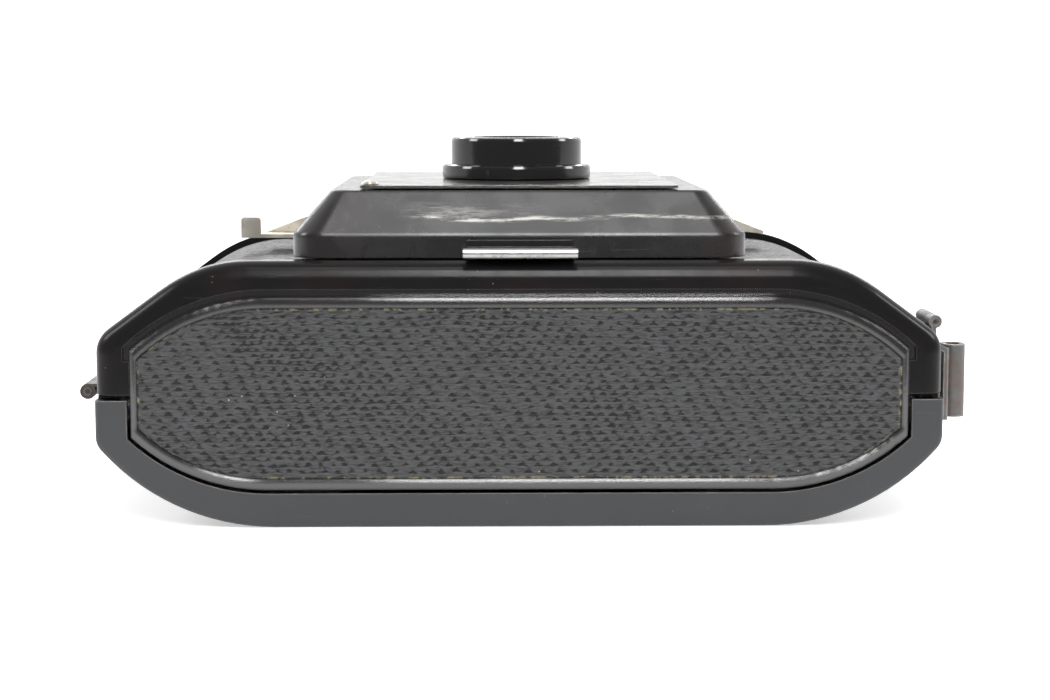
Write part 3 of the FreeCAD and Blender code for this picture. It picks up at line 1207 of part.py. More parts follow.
def finder():
    """A direct viewfinder on the top end: a rectangular tube with a front and an eye lens."""
    y = (FINDER_SEAT, HALF + S.finder_height)
    half, low, high = S.finder_half, S.finder_low, S.finder_high
    tube = block("finder_tube", middle(half), y, (low, high))
    soft = rounded("finder_soft", tube, 1.4, upright)
    wall = S.finder_wall
    clear = (middle(half - wall), (y[0] + wall + 0.4, y[1] - wall))
    inside = block("finder_inside", *clear, (low - 1, high + 1))
    feet = block("finder_feet", middle(FINDER_FOOT), (FINDER_SEAT, FINDER_SEAT + S.steel), (low, high))
    solid = cut("finder_solid", join("finder_parts", soft, feet), inside)
    node(solid, "finder_housing")
    for label, z, thick in (("finder_front_lens", high - 2.6, 1.2), ("finder_eye_lens", low + 1.2, 1.0)):
        node(block(label + "_glass", *clear, (z, z + thick)), label)
    heads = []
    for side in (-1, 1):
        for z in (low + 5.5, high - 5.8):
            heads.append(turned("finder_screw", "Y", side * (half + 1.25), FINDER_SEAT + S.steel, z, [
                (0, 0), (0.9, 0), (0.9, 0.25), (0.5, 0.5), (0, 0.55)]))
    node(join("finder_screws_all", *heads), "finder_screws")


front_casing()
end_plates()
body_leather()
film_chamber()
film_rollers()
tunnel_collar()
tunnels()
lens_hood()
pull_tabs()
lens_plate()
lens()
shutter()
shutter_sector()
release_lever()
time_lever()
side_guards()
back()
pressure_plate()
pressure_springs()
hinge()
latch()
winder()
spool_pivots()
finder()
doc.recompute()

# ---------------------------------------------------------------- checks and files
faults = [f"{o.Name} ({o.Label}): {', '.join(o.State)}" for o in doc.Objects
          if "Invalid" in o.State or "Error" in o.State]
for part in NODES:
    shape = part.Shape
    if shape.isNull() or not shape.isValid() or not shape.Solids or shape.Volume <= 0:
        faults.append(f"{part.Label}: bad shape")
if faults:
    raise SystemExit("\n".join(faults))
os.makedirs("parts", exist_ok=True)
for part in NODES:
    part.Shape.exportStep(f"parts/{part.Label}.step")
    print(f"{part.Label}: {len(part.Shape.Solids)} solid(s), {part.Shape.Volume:.1f} mm3")
print(f"{len(NODES)} nodes")
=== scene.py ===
"""Folding camera: finishes, grained leather and a plain studio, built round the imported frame."""

import math

import bmesh
import bpy
from bpy.props import FloatProperty, FloatVectorProperty, PointerProperty
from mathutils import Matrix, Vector, noise
from mathutils.geometry import convex_hull_2d


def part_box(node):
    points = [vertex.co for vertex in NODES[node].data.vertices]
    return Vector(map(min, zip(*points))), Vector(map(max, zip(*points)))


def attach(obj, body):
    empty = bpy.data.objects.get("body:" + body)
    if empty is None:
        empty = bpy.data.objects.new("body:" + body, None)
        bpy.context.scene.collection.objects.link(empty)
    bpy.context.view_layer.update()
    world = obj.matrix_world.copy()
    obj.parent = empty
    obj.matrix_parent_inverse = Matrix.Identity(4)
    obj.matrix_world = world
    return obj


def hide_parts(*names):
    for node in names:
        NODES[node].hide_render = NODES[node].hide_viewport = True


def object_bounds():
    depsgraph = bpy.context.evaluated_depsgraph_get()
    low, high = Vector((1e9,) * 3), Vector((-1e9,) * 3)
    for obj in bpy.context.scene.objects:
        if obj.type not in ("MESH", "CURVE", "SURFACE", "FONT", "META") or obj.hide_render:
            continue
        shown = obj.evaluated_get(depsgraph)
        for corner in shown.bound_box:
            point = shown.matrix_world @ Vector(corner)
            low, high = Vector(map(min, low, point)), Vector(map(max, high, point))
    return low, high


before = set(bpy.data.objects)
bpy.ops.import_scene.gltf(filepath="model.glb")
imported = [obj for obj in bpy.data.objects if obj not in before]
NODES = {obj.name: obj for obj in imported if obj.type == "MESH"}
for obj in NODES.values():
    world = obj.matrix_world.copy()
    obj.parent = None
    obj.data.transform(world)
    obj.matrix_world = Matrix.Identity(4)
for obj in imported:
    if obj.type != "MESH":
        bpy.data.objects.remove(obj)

bl_info = {
    "name": "Folding Camera",
    "version": (1, 0, 0),
    "blender": (4, 5, 0),
    "location": "3D View > Sidebar > Folding Camera",
    "description": "Finishes a collapsible roll-film camera and sets it on a plain studio floor",
    "category": "Object",
}

MM = 0.001
CAD_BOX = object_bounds()

PIT_LEAN = 0.36  # how far each row of pits is shifted against the last, in pit spacings
EDGE_FADE = 0.8 * MM  # the grain fades out this near to a leather's edge
GRAIN_SINK = 0.02 * MM  # the leather's surface lies this far inside its outline
WRAP_THICKNESS = 0.35 * MM
STREAK_DEPTH = 4.4 * MM  # from the hood's top down to its rubbed streak and painted highlight
HOLE_CLEARANCE = 0.1 * MM
MOUTH_CORNER = 5.4 * MM

RIB_COLOUR = (0.025, 0.0245, 0.025, 1)
CLOUD_COLOUR = (0.05, 0.049, 0.05, 1)
# painted shade: dark colour laid into the occluded corners of plated metal
CORNER_SHADE_COLOUR = (0.03, 0.024, 0.018, 1)
# painted shade: dark colour laid into the occluded corners of worn steel
STEEL_CORNER_SHADE_COLOUR = (0.02, 0.016, 0.013, 1)
HINGE_COLOURS = (0.34, 0.24, 0.16, 1), (0.10, 0.065, 0.045, 1)
BARREL_COLOURS = (0.02, 0.019, 0.02, 1), (0.05, 0.035, 0.025, 1)
FELT_COLOUR = (0.006, 0.006, 0.006, 1)
PLATE_COLOUR = (0.03, 0.03, 0.031, 1)
LEVER_COLOUR = (0.86, 0.80, 0.70, 1)
BRACKET_COLOUR = (0.03, 0.029, 0.028, 1)
LENS_TINT = (0.93, 0.95, 0.96, 1)
FINDER_TINT = (0.95, 0.97, 0.96, 1)

# name, place in metres, width and height in metres, power in watts
LIGHTS = (
    ("light_front", (0.05, -0.8, 0.85), (0.24, 0.75), 13.0),
    ("light_top", (0.03, -0.27, 1.13), (0.4, 0.28), 1.7),
    ("light_behind", (0.0, 1.3, 0.6), (1.6, 0.12), 5.0),
    ("light_left", (-1.0, 0.05, 0.75), (0.3, 0.45), 5.0),
    ("light_right", (1.05, 0.15, 0.7), (0.25, 0.45), 4.5),
)


class CameraFinishes(bpy.types.PropertyGroup):
    """Colours and surface values of the camera's finishes"""

    enamel_colour: FloatVectorProperty(
        name="Enamel", description="Colour of the stoved black enamel",
        subtype="COLOR", size=4, min=0, max=1, default=(0.008, 0.008, 0.0086, 1))
    enamel_thin_colour: FloatVectorProperty(
        name="Thin enamel", description="Brownish colour where the enamel has worn thin",
        subtype="COLOR", size=4, min=0, max=1, default=(0.014, 0.0098, 0.0095, 1))
    satin_colour: FloatVectorProperty(
        name="Satin enamel", description="Colour of the rubbed enamel on the back",
        subtype="COLOR", size=4, min=0, max=1, default=(0.038, 0.039, 0.041, 1))
    # painted highlight: this pale colour is partly rubbed enamel and partly the light reflected along the
    # hood's slope
    streak_and_highlight_colour: FloatVectorProperty(
        name="Rubbed streak", description="Colour of the rubbed streak on the hood",
        subtype="COLOR", size=4, min=0, max=1, default=(0.50, 0.48, 0.45, 1))
    steel_colour: FloatVectorProperty(
        name="Bare steel", description="Colour of the metal under the enamel",
        subtype="COLOR", size=4, min=0, max=1, default=(0.42, 0.38, 0.33, 1))
    dust_colour: FloatVectorProperty(
        name="Dust", description="Colour of the dust and old glue in the corners",
        subtype="COLOR", size=4, min=0, max=1, default=(0.46, 0.43, 0.37, 1))
    glue_colour: FloatVectorProperty(
        name="Glue", description="Colour of the dried glue round the leather panels",
        subtype="COLOR", size=4, min=0, max=1, default=(0.55, 0.47, 0.27, 1))
    leather_colour: FloatVectorProperty(
        name="Leather", description="Colour of the leather between its pits",
        subtype="COLOR", size=4, min=0, max=1, default=(0.054, 0.055, 0.057, 1))
    # painted shade: near-black colour laid at the bottom of the leather's pits
    leather_pit_shade_colour: FloatVectorProperty(
        name="Leather pits", description="Colour at the bottom of the leather's pits",
        subtype="COLOR", size=4, min=0, max=1, default=(0.006, 0.005, 0.005, 1))
    nickel_colour: FloatVectorProperty(
        name="Nickel", description="Colour of the nickel plating",
        subtype="COLOR", size=4, min=0, max=1, default=(0.66, 0.62, 0.55, 1))
    tarnish_colour: FloatVectorProperty(
        name="Tarnish", description="Reddish brown of the rusted and tarnished plating",
        subtype="COLOR", size=4, min=0, max=1, default=(0.16, 0.075, 0.045, 1))
    latch_colour: FloatVectorProperty(
        name="Latch steel", description="Dull grey of the latch's worn steel",
        subtype="COLOR", size=4, min=0, max=1, default=(0.12, 0.118, 0.115, 1))
    brass_colour: FloatVectorProperty(
        name="Brass", description="Colour of the bare brass",
        subtype="COLOR", size=4, min=0, max=1, default=(0.70, 0.49, 0.24, 1))
    spring_colour: FloatVectorProperty(
        name="Spring steel", description="Colour of the springs, pins and studs",
        subtype="COLOR", size=4, min=0, max=1, default=(0.36, 0.35, 0.34, 1))
    matt_colour: FloatVectorProperty(
        name="Matt black", description="Colour of the light-proof paint inside",
        subtype="COLOR", size=4, min=0, max=1, default=(0.014, 0.014, 0.014, 1))
    red_colour: FloatVectorProperty(
        name="Window red", description="Colour of the red film windows",
        subtype="COLOR", size=4, min=0, max=1, default=(0.55, 0.015, 0.008, 1))
    gloss: FloatProperty(
        name="Gloss roughness", description="Roughness of the glossy enamel",
        subtype="FACTOR", min=0, max=1, default=0.15)
    satin: FloatProperty(
        name="Satin roughness", description="Roughness of the rubbed enamel on the back",
        subtype="FACTOR", min=0, max=1, default=0.42)


class LeatherSizes(bpy.types.PropertyGroup):
    """Sizes of the grain pressed into the leather"""

    rib_pitch: FloatProperty(
        name="Rib pitch", description="Distance from one hair-fine rib to the next",
        unit="LENGTH", precision=5, default=0.27 * MM)
    pit_along: FloatProperty(
        name="Pit spacing along", description="Distance between pits along the ribs",
        unit="LENGTH", precision=5, default=2.35 * MM)
    pit_across: FloatProperty(
        name="Pit spacing across", description="Distance between rows of pits",
        unit="LENGTH", precision=5, default=1.05 * MM)
    pit_width: FloatProperty(
        name="Pit width", description="Width of a pit at its flat side",
        unit="LENGTH", precision=5, default=1.75 * MM)
    pit_height: FloatProperty(
        name="Pit height", description="Distance from a pit's flat side to its point",
        unit="LENGTH", precision=5, default=0.95 * MM)
    pit_depth: FloatProperty(
        name="Pit depth", description="Depth of a pit below the ribs",
        unit="LENGTH", precision=5, default=0.13 * MM)
    step_along: FloatProperty(
        name="Mesh step along", description="Distance between mesh points along the ribs",
        unit="LENGTH", precision=5, default=0.31 * MM)
    step_across: FloatProperty(
        name="Mesh step across", description="Distance between mesh points across the ribs",
        unit="LENGTH", precision=5, default=0.19 * MM)
    wrap_step: FloatProperty(
        name="Wrap mesh step", description="Distance between mesh points on the leather round the body",
        unit="LENGTH", precision=5, default=0.5 * MM)


class StudioSettings(bpy.types.PropertyGroup):
    """Place of the camera, floor and lights"""

    eye_distance: FloatProperty(
        name="Eye distance", description="From the lens axis to the eye, along the ground",
        unit="LENGTH", default=0.420)
    eye_height: FloatProperty(
        name="Eye height", description="Height of the eye over the floor",
        unit="LENGTH", default=0.0708)
    eye_tilt: FloatProperty(
        name="Eye tilt", description="How far the eye looks down",
        subtype="ANGLE", default=math.radians(6.3))
    eye_lens: FloatProperty(
        name="Focal length", description="Focal length on a full-frame sensor",
        unit="CAMERA", default=80.1)
    eye_side: FloatProperty(
        name="Eye side", description="How far the eye stands to the right of the lens axis",
        unit="LENGTH", precision=4, default=-0.0063)
    eye_turn: FloatProperty(
        name="Eye turn", description="How far the eye is turned to the left",
        subtype="ANGLE", default=math.radians(-1.07))
    floor_width: FloatProperty(
        name="Floor width", description="Width of the floor, and how far it runs back",
        unit="LENGTH", default=12.0)
    floor_front: FloatProperty(
        name="Floor front", description="From the lens axis to the floor's front edge",
        unit="LENGTH", default=0.22)
    floor_colour: FloatVectorProperty(
        name="Floor", description="Colour of the floor",
        subtype="COLOR", size=4, min=0, max=1, default=(0.87, 0.87, 0.87, 1))


# ---------------------------------------------------------------- shader building blocks


class Finish:
    """A material or world being built, with short ways to add and join its nodes."""

    def __init__(self, name, blocks="materials", place="Object"):
        self.material = getattr(bpy.data, blocks).new(name)
        self.material.use_nodes = True
        self.tree = self.material.node_tree
        self.tree.nodes.clear()
        self.place = self.add("ShaderNodeTexCoord").outputs[place]

    def add(self, kind, inputs=None, **settings):
        """Adds a node with its settings, then its inputs by name or by number."""
        made = self.tree.nodes.new(kind)
        for key, value in settings.items():
            setattr(made, key, value)
        for key, value in (inputs or {}).items():
            self.put(made.inputs[key], value)
        return made

    def put(self, socket, value):
        """Joins a socket to another one, or sets its value."""
        if isinstance(value, bpy.types.NodeSocket):
            self.tree.links.new(value, socket)
        else:
            socket.default_value = value

    def sum(self, operation, first, second=0.0, clamp=False):
        """One arithmetic step on two numbers."""
        made = self.add("ShaderNodeMath", {0: first, 1: second}, operation=operation, use_clamp=clamp)
        return made.outputs[0]

    def ramp(self, value, low, high, start=0.0, end=1.0):
        """A number that goes smoothly from start to end as value goes from low to high."""
        made = self.add(
            "ShaderNodeMapRange",
            {"Value": value, "From Min": low, "From Max": high, "To Min": start, "To Max": end},
            interpolation_type="SMOOTHSTEP")
        return made.outputs["Result"]

    def mix(self, share, first, second):
        """A colour between two others."""
        made = self.add("ShaderNodeMix", {0: share, 6: first, 7: second}, data_type="RGBA")
        return made.outputs[2]

    def stretched(self, x=1.0, y=1.0, z=1.0):
        """Object coordinates scaled by a factor along each axis."""
        return self.add("ShaderNodeMapping", {"Vector": self.place, "Scale": (x, y, z)}).outputs[0]

    def noise(self, scale, detail=3.0, rough=0.55, twist=0.0, where=None):
        """Cloudy noise from 0 to 1; scale is in waves to the metre."""
        made = self.add(
            "ShaderNodeTexNoise",
            {"Vector": where or self.place, "Scale": scale, "Detail": detail,
             "Roughness": rough, "Distortion": twist})
        return made.outputs["Fac"]

    def cells(self, scale):
        """Distance from the nearest of many scattered points."""
        made = self.add("ShaderNodeTexVoronoi", {"Vector": self.place, "Scale": scale})
        return made.outputs["Distance"]

    def axis(self, name):
        """One of the object's own coordinates, in metres."""
        return self.add("ShaderNodeSeparateXYZ", {0: self.place}).outputs[name]

    def softened(self, radius):
        """The surface normal with sharp edges rounded by this radius."""
        return self.add("ShaderNodeBevel", {"Radius": radius}, samples=3).outputs[0]

    def edges(self, radius):
        """Near 1 on sharp outer and inner edges, and 0 elsewhere."""
        flat = self.add("ShaderNodeNewGeometry").outputs["Normal"]
        turn = self.add(
            "ShaderNodeVectorMath", {0: flat, 1: self.softened(radius)}, operation="DOT_PRODUCT")
        return self.sum("SUBTRACT", 1.0, turn.outputs["Value"], clamp=True)

    def corners(self, reach):
        """1 in tight corners between pieces, and 0 in the open."""
        seen = self.add("ShaderNodeAmbientOcclusion", {"Distance": reach}, samples=4).outputs["AO"]
        return self.sum("SUBTRACT", 1.0, seen, clamp=True)

    def bump(self, height, depth, normal=None):
        """A normal bent by a height, whose full range is this depth in metres."""
        inputs = {"Height": height, "Distance": depth, "Strength": 1.0}
        if normal is not None:
            inputs["Normal"] = normal
        return self.add("ShaderNodeBump", inputs).outputs[0]

    def close(self, **inputs):
        """Ends the material with one Principled shader and gives the material back."""
        named = {key.replace("_", " "): value for key, value in inputs.items()}
        shader = self.add("ShaderNodeBsdfPrincipled", named)
        self.add("ShaderNodeOutputMaterial", {"Surface": shader.outputs[0]})
        return self.material


def look():
    """The finishes' colours and values."""
    return bpy.context.scene.camera_finishes


def coat(material, *names):
    """Gives CAD nodes one material all over."""
    for name in names:
        slots = NODES[name].data.materials
        slots.clear()
        slots.append(material)


# ---------------------------------------------------------------- finishes


def enamel(name, roughness, wear, colour=None, dust=0.4, streak=None, soft=0.16 * MM, shine=1.5):
    """Stoved enamel with smudges, dust specks, hair scratches and worn edges."""
    colours = look()
    paint = Finish(name)
    clouds = paint.noise(45, detail=4)
    smudges = paint.noise(140, detail=5, rough=0.6, twist=0.4)
    specks = paint.ramp(paint.cells(620), 0.075, 0.03)
    dusty = paint.sum("MULTIPLY", specks, paint.ramp(paint.noise(90), 0.5, 0.62))
    hairs = paint.noise(60, detail=6, rough=0.75, where=paint.stretched(1, 16, 22))
    scratch = paint.ramp(hairs, 0.645, 0.67)
    tint = paint.mix(paint.ramp(clouds, 0.45, 0.75), colour or colours.enamel_colour,
                     colour or colours.enamel_thin_colour)
    pale = paint.sum("ADD", paint.sum("MULTIPLY", dusty, dust), paint.sum("MULTIPLY", scratch, 0.03))
    rough = paint.ramp(smudges, 0.35, 0.7, roughness * 0.85, roughness * 1.3)
    dusted = paint.mix(paint.sum("MINIMUM", pale, 1.0), tint, colours.dust_colour)
    # the streak is partly rubbed enamel and partly a painted highlight of reflected light
    if streak is not None:
        rubbed = streak(paint)
        dusted = paint.mix(rubbed, dusted, colours.streak_and_highlight_colour)
        rough = paint.sum("ADD", rough, paint.sum("MULTIPLY", rubbed, 0.3))
    ragged = paint.ramp(paint.noise(330, detail=6), 0.3, 0.8, -0.12, 0.1)
    worn_by = paint.sum("ADD", paint.edges(0.35 * MM), ragged)
    bare = paint.sum("MULTIPLY", paint.ramp(worn_by, 0.18, 0.26), wear)
    skin = paint.sum("ADD", paint.noise(600, detail=2), paint.sum("MULTIPLY", paint.noise(2600), 0.35))
    height = paint.sum("ADD", skin, paint.sum("MULTIPLY", scratch, -0.5))
    normal = paint.bump(height, 0.0055 * MM, paint.softened(soft))
    return paint.close(
        Base_Color=paint.mix(bare, dusted, colours.steel_colour),
        Roughness=paint.sum("ADD", rough, paint.sum("MULTIPLY", pale, 0.3)),
        Metallic=paint.sum("MULTIPLY", bare, 0.8), Normal=normal, IOR=shine)


def hood_streak_and_highlight(paint):
    """A rubbed, scratched streak along the hood's slope, with a painted highlight of the light reflected
    there, broken up by noise.
    """
    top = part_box("lens_hood")[1].z
    wander = paint.ramp(paint.noise(40, detail=2), 0.3, 0.7, -0.5 * MM, 0.5 * MM)
    height = paint.sum("ADD", paint.axis("Z"), wander)
    middle = top - STREAK_DEPTH
    fine = paint.ramp(paint.noise(150, detail=8, rough=0.85, where=paint.stretched(1, 6, 9)), 0.42, 0.6)
    line = paint.sum("MULTIPLY",
                     paint.ramp(height, middle - 0.45 * MM, middle - 0.05 * MM),
                     paint.ramp(height, middle + 0.5 * MM, middle + 0.05 * MM))
    # a pale haze above the line, stronger to the left: partly scratches, partly painted reflection
    haze = paint.sum("MULTIPLY",
                     paint.ramp(height, middle - 0.6 * MM, middle + 0.4 * MM),
                     paint.ramp(height, middle + 3.2 * MM, middle + 1.2 * MM))
    hazy = paint.sum("MULTIPLY", haze, paint.ramp(paint.axis("X"), 8 * MM, -14 * MM, 0.0, 0.4))
    both = paint.sum("ADD", line, hazy)
    side = paint.sum("MULTIPLY", paint.ramp(paint.axis("X"), -21 * MM, -12 * MM),
                     paint.ramp(paint.axis("X"), 36 * MM, 31 * MM))
    lower = paint.sum("MULTIPLY", side, paint.ramp(paint.axis("Y"), 1 * MM, -1 * MM))
    return paint.sum("MULTIPLY", paint.sum("MULTIPLY", both, lower), fine)


def tab_metal(name):
    """Black enamel on a pull tab's root, rubbed away to bright metal on its rolled lip."""
    colours = look()
    metal = Finish(name)
    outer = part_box("pull_tab_top")[1].y
    ragged = metal.ramp(metal.noise(500, detail=5), 0.3, 0.7, -0.15 * MM, 0.15 * MM)
    reach = metal.sum("ADD", metal.sum("ABSOLUTE", metal.axis("Y")), ragged)
    lip = metal.ramp(reach, outer - 2.1 * MM, outer - 1.8 * MM)
    rubbed = metal.sum("MULTIPLY", lip, metal.ramp(metal.noise(260, detail=6), 0.3, 0.55, 0.7, 1.0))
    return metal.close(
        Base_Color=metal.mix(rubbed, colours.enamel_colour, colours.spring_colour),
        Metallic=metal.sum("MULTIPLY", rubbed, 0.9), Roughness=0.2,
        Normal=metal.bump(metal.noise(900), 0.006 * MM, metal.softened(0.2 * MM)))


def matt_paint(name):
    """Thin dull black paint, dusty in its corners."""
    colours = look()
    paint = Finish(name)
    grain = paint.noise(1400, detail=4)
    dust = paint.sum("MULTIPLY", paint.corners(2.5 * MM), paint.ramp(paint.noise(260, detail=5), 0.35, 0.75))
    scuffs = paint.ramp(paint.noise(120, detail=8, rough=0.75), 0.6, 0.72)
    pale = paint.sum("ADD", paint.sum("MULTIPLY", dust, 0.12), paint.sum("MULTIPLY", scuffs, 0.05))
    colour = paint.mix(pale, colours.matt_colour, colours.dust_colour)
    normal = paint.bump(grain, 0.02 * MM, paint.softened(0.12 * MM))
    return paint.close(
        Base_Color=colour, Roughness=paint.ramp(grain, 0.3, 0.7, 0.52, 0.72), Normal=normal)


def leather_surface(name, packed):
    """Leather whose pits are in its mesh; its hair-fine ribs lie packed along one axis."""
    colours = look()
    sizes = bpy.context.scene.leather_sizes
    leather = Finish(name)
    pit = leather.add("ShaderNodeAttribute", attribute_name="pit").outputs["Fac"]
    rim = leather.add("ShaderNodeAttribute", attribute_name="rim").outputs["Fac"]
    stretched = leather.stretched(*[1.0 if axis == packed else 0.16 for axis in "XYZ"])
    fibres = leather.noise(1.35 / sizes.rib_pitch, detail=3, rough=0.6, where=stretched)
    clouds = leather.noise(60, detail=4)
    torn = leather.sum("ADD", pit, leather.ramp(fibres, 0.35, 0.65, 0.3, -0.34))
    deep = leather.ramp(torn, 0.25, 0.8)
    ribbed = leather.mix(leather.ramp(fibres, 0.38, 0.6), RIB_COLOUR, colours.leather_colour)
    toned = leather.mix(leather.ramp(clouds, 0.35, 0.8, 0.0, 0.3), ribbed, CLOUD_COLOUR)
    # painted shade: the leather is darkened where its pits are deepest
    pit_shaded = leather.mix(leather.sum("MULTIPLY", deep, 0.85), toned, colours.leather_pit_shade_colour)
    glue = leather.sum("MULTIPLY", rim, leather.ramp(leather.noise(900, detail=5), 0.5, 0.6))
    flecks = leather.sum(
        "MULTIPLY", leather.ramp(leather.cells(430), 0.07, 0.04), leather.ramp(leather.noise(75), 0.55, 0.66))
    soiled = leather.mix(leather.sum("MULTIPLY", glue, 0.75), pit_shaded, colours.glue_colour)
    colour = leather.mix(leather.sum("MULTIPLY", flecks, 0.6), soiled, colours.dust_colour)
    height = leather.sum("SUBTRACT", leather.sum("MULTIPLY", fibres, 0.6), deep)
    rough = leather.sum(
        "ADD", leather.ramp(fibres, 0.3, 0.7, 0.52, 0.42), leather.sum("MULTIPLY", deep, 0.25))
    return leather.close(
        Base_Color=colour, Roughness=rough, Normal=leather.bump(height, 0.045 * MM), IOR=1.38,
        Sheen_Weight=0.06, Sheen_Roughness=0.5)


def plated(name, colour, roughness, tarnish, scale=1.0):
    """Plated or bare metal, brushed a little, with spots and patches of tarnish."""
    colours = look()
    metal = Finish(name)
    patches = metal.noise(160 * scale, detail=7, rough=0.68, twist=0.6)
    spots = metal.ramp(metal.cells(700 * scale), 0.26, 0.1)
    spotted = metal.sum("MULTIPLY", spots, metal.ramp(metal.noise(110), 0.46, 0.62))
    stained = metal.ramp(patches, 0.66 - 0.3 * tarnish, 0.8 - 0.25 * tarnish)
    dull = metal.sum("ADD", stained, metal.sum("MULTIPLY", spotted, 0.7), clamp=True)
    share = metal.sum("MULTIPLY", dull, min(1.0, tarnish * 1.6))
    brushed = metal.noise(240, detail=4, where=metal.stretched(1, 14, 1))
    base = metal.mix(metal.ramp(brushed, 0.3, 0.7), tuple(0.82 * c for c in colour[:3]) + (1,), colour)
    # painted shade: the metal is darkened in the occluded corners that ambient occlusion finds
    corner_shade = metal.sum("MULTIPLY", metal.corners(1.2 * MM), 0.55)
    rusted = metal.mix(share, base, colours.tarnish_colour)
    soiled = metal.mix(corner_shade, rusted, CORNER_SHADE_COLOUR)
    rough = metal.ramp(brushed, 0.3, 0.7, roughness * 0.8, roughness * 1.25)
    normal = metal.bump(metal.sum("SUBTRACT", brushed, share), 0.012 * MM, metal.softened(0.1 * MM))
    return metal.close(
        Base_Color=soiled, Metallic=metal.sum("SUBTRACT", 1.0, metal.sum("MULTIPLY", share, 0.7)),
        Roughness=metal.sum("ADD", rough, metal.sum("MULTIPLY", share, 0.35)), Normal=normal)


def worn_steel(name, colour, rust, bright=0.5):
    """Dull worn steel, rubbed bright on its edges and rusted in patches."""
    colours = look()
    metal = Finish(name)
    grain = metal.noise(900, detail=5)
    ragged = metal.ramp(metal.noise(420, detail=6), 0.3, 0.7, -0.1, 0.12)
    edge = metal.sum("ADD", metal.edges(0.5 * MM), ragged)
    rubbed = metal.sum("MULTIPLY", metal.ramp(edge, 0.13, 0.2), bright)
    patches = metal.ramp(metal.noise(150, detail=7, rough=0.7), 0.6 - 0.2 * rust, 0.7 - 0.1 * rust)
    base = metal.mix(metal.ramp(grain, 0.3, 0.7), tuple(0.8 * c for c in colour[:3]) + (1,), colour)
    rusted = metal.mix(metal.sum("MULTIPLY", patches, rust), base, colours.tarnish_colour)
    worn = metal.mix(rubbed, rusted, colours.nickel_colour)
    # painted shade: the steel is darkened in the occluded corners that ambient occlusion finds
    corner_shaded_steel = metal.mix(metal.sum("MULTIPLY", metal.corners(1.0 * MM), 0.6), worn, STEEL_CORNER_SHADE_COLOUR)
    rough = metal.sum("ADD", metal.ramp(grain, 0.3, 0.7, 0.34, 0.46), metal.sum("MULTIPLY", patches, 0.2))
    normal = metal.bump(grain, 0.01 * MM, metal.softened(0.12 * MM))
    return metal.close(Base_Color=corner_shaded_steel, Metallic=0.45, Roughness=rough, Normal=normal)


def hinge_metal(name):
    """Brass leaves with a dark, rolled and dirty barrel."""
    metal = Finish(name)
    pin_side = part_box("hinge_pin")[1].x
    barrel = metal.ramp(metal.axis("X"), pin_side + 1.3 * MM, pin_side + 0.5 * MM)
    stains = metal.ramp(metal.noise(300, detail=7, rough=0.7), 0.36, 0.62)
    leaf = metal.mix(stains, *HINGE_COLOURS)
    dark = metal.mix(stains, *BARREL_COLOURS)
    colour = metal.mix(barrel, leaf, dark)
    shine = metal.sum("MULTIPLY", metal.sum("SUBTRACT", 1.0, barrel), 0.7)
    normal = metal.bump(metal.noise(900, detail=4), 0.012 * MM, metal.softened(0.1 * MM))
    return metal.close(
        Base_Color=colour, Metallic=shine, Normal=normal,
        Roughness=metal.sum("ADD", metal.sum("MULTIPLY", stains, 0.2), 0.32))


def felt(name):
    """Black light-trap felt, dusty in places."""
    cloth = Finish(name)
    fuzz = cloth.noise(2600, detail=4, rough=0.7)
    dust = cloth.sum("MULTIPLY", cloth.ramp(cloth.noise(700, detail=5), 0.52, 0.62),
                     cloth.ramp(cloth.axis("X"), 0.0, 60 * MM, 0.15, 0.8))
    colour = cloth.mix(dust, FELT_COLOUR, look().dust_colour)
    return cloth.close(
        Base_Color=colour, Roughness=0.95, Normal=cloth.bump(fuzz, 0.05 * MM), Sheen_Weight=0.2,
        Sheen_Roughness=0.6)


def clear_glass(name, tint, roughness=0.0):
    """Ground glass lens or window with faint dust on it."""
    glass = Finish(name)
    dust = glass.ramp(glass.noise(800, detail=6, rough=0.7), 0.55, 0.8, roughness, roughness + 0.1)
    return glass.close(
        Base_Color=tint, Roughness=dust, Transmission_Weight=1.0, IOR=1.52)


# ---------------------------------------------------------------- leather meshes


def cell_place(column, row, sizes):
    """Centre and size of one pit; the rows lean, so that the pits run in diagonals."""
    spread = noise.cell_vector(Vector((column + 0.5, row + 0.5, 7.5)))
    lean = -PIT_LEAN + 0.08 * noise.noise(Vector((column * 0.13, row * 0.07, 1.3)))
    along = (column + lean * row + 0.2 * (spread.x - 0.5)) * sizes.pit_along
    across = (row + 0.24 * (spread.y - 0.5)) * sizes.pit_across
    return along, across, 0.85 + 0.3 * spread.z


def pit_at(along, across, sizes, known):
    """How deep in a pit a point is, from 0 to 1: a triangle with its flat side below."""
    deepest = 0.0
    row_here = math.floor(across / sizes.pit_across)
    for row in range(row_here - 1, row_here + 3):
        column_here = math.floor(along / sizes.pit_along + PIT_LEAN * row)
        for column in range(column_here - 1, column_here + 3):
            if (column, row) not in known:
                known[column, row] = cell_place(column, row, sizes)
            centre_along, centre_across, size = known[column, row]
            up = (across - centre_across) / (sizes.pit_height * size)
            out = abs(along - centre_along) / (sizes.pit_width * size * 0.5)
            if up < -0.5 or up > 0.7 or out > 1.2:
                continue
            inside = min((0.62 - up) * 1.05 - out, (up + 0.5) * 3.0)
            deepest = max(deepest, min(1.0, inside * 2.2))
    return deepest


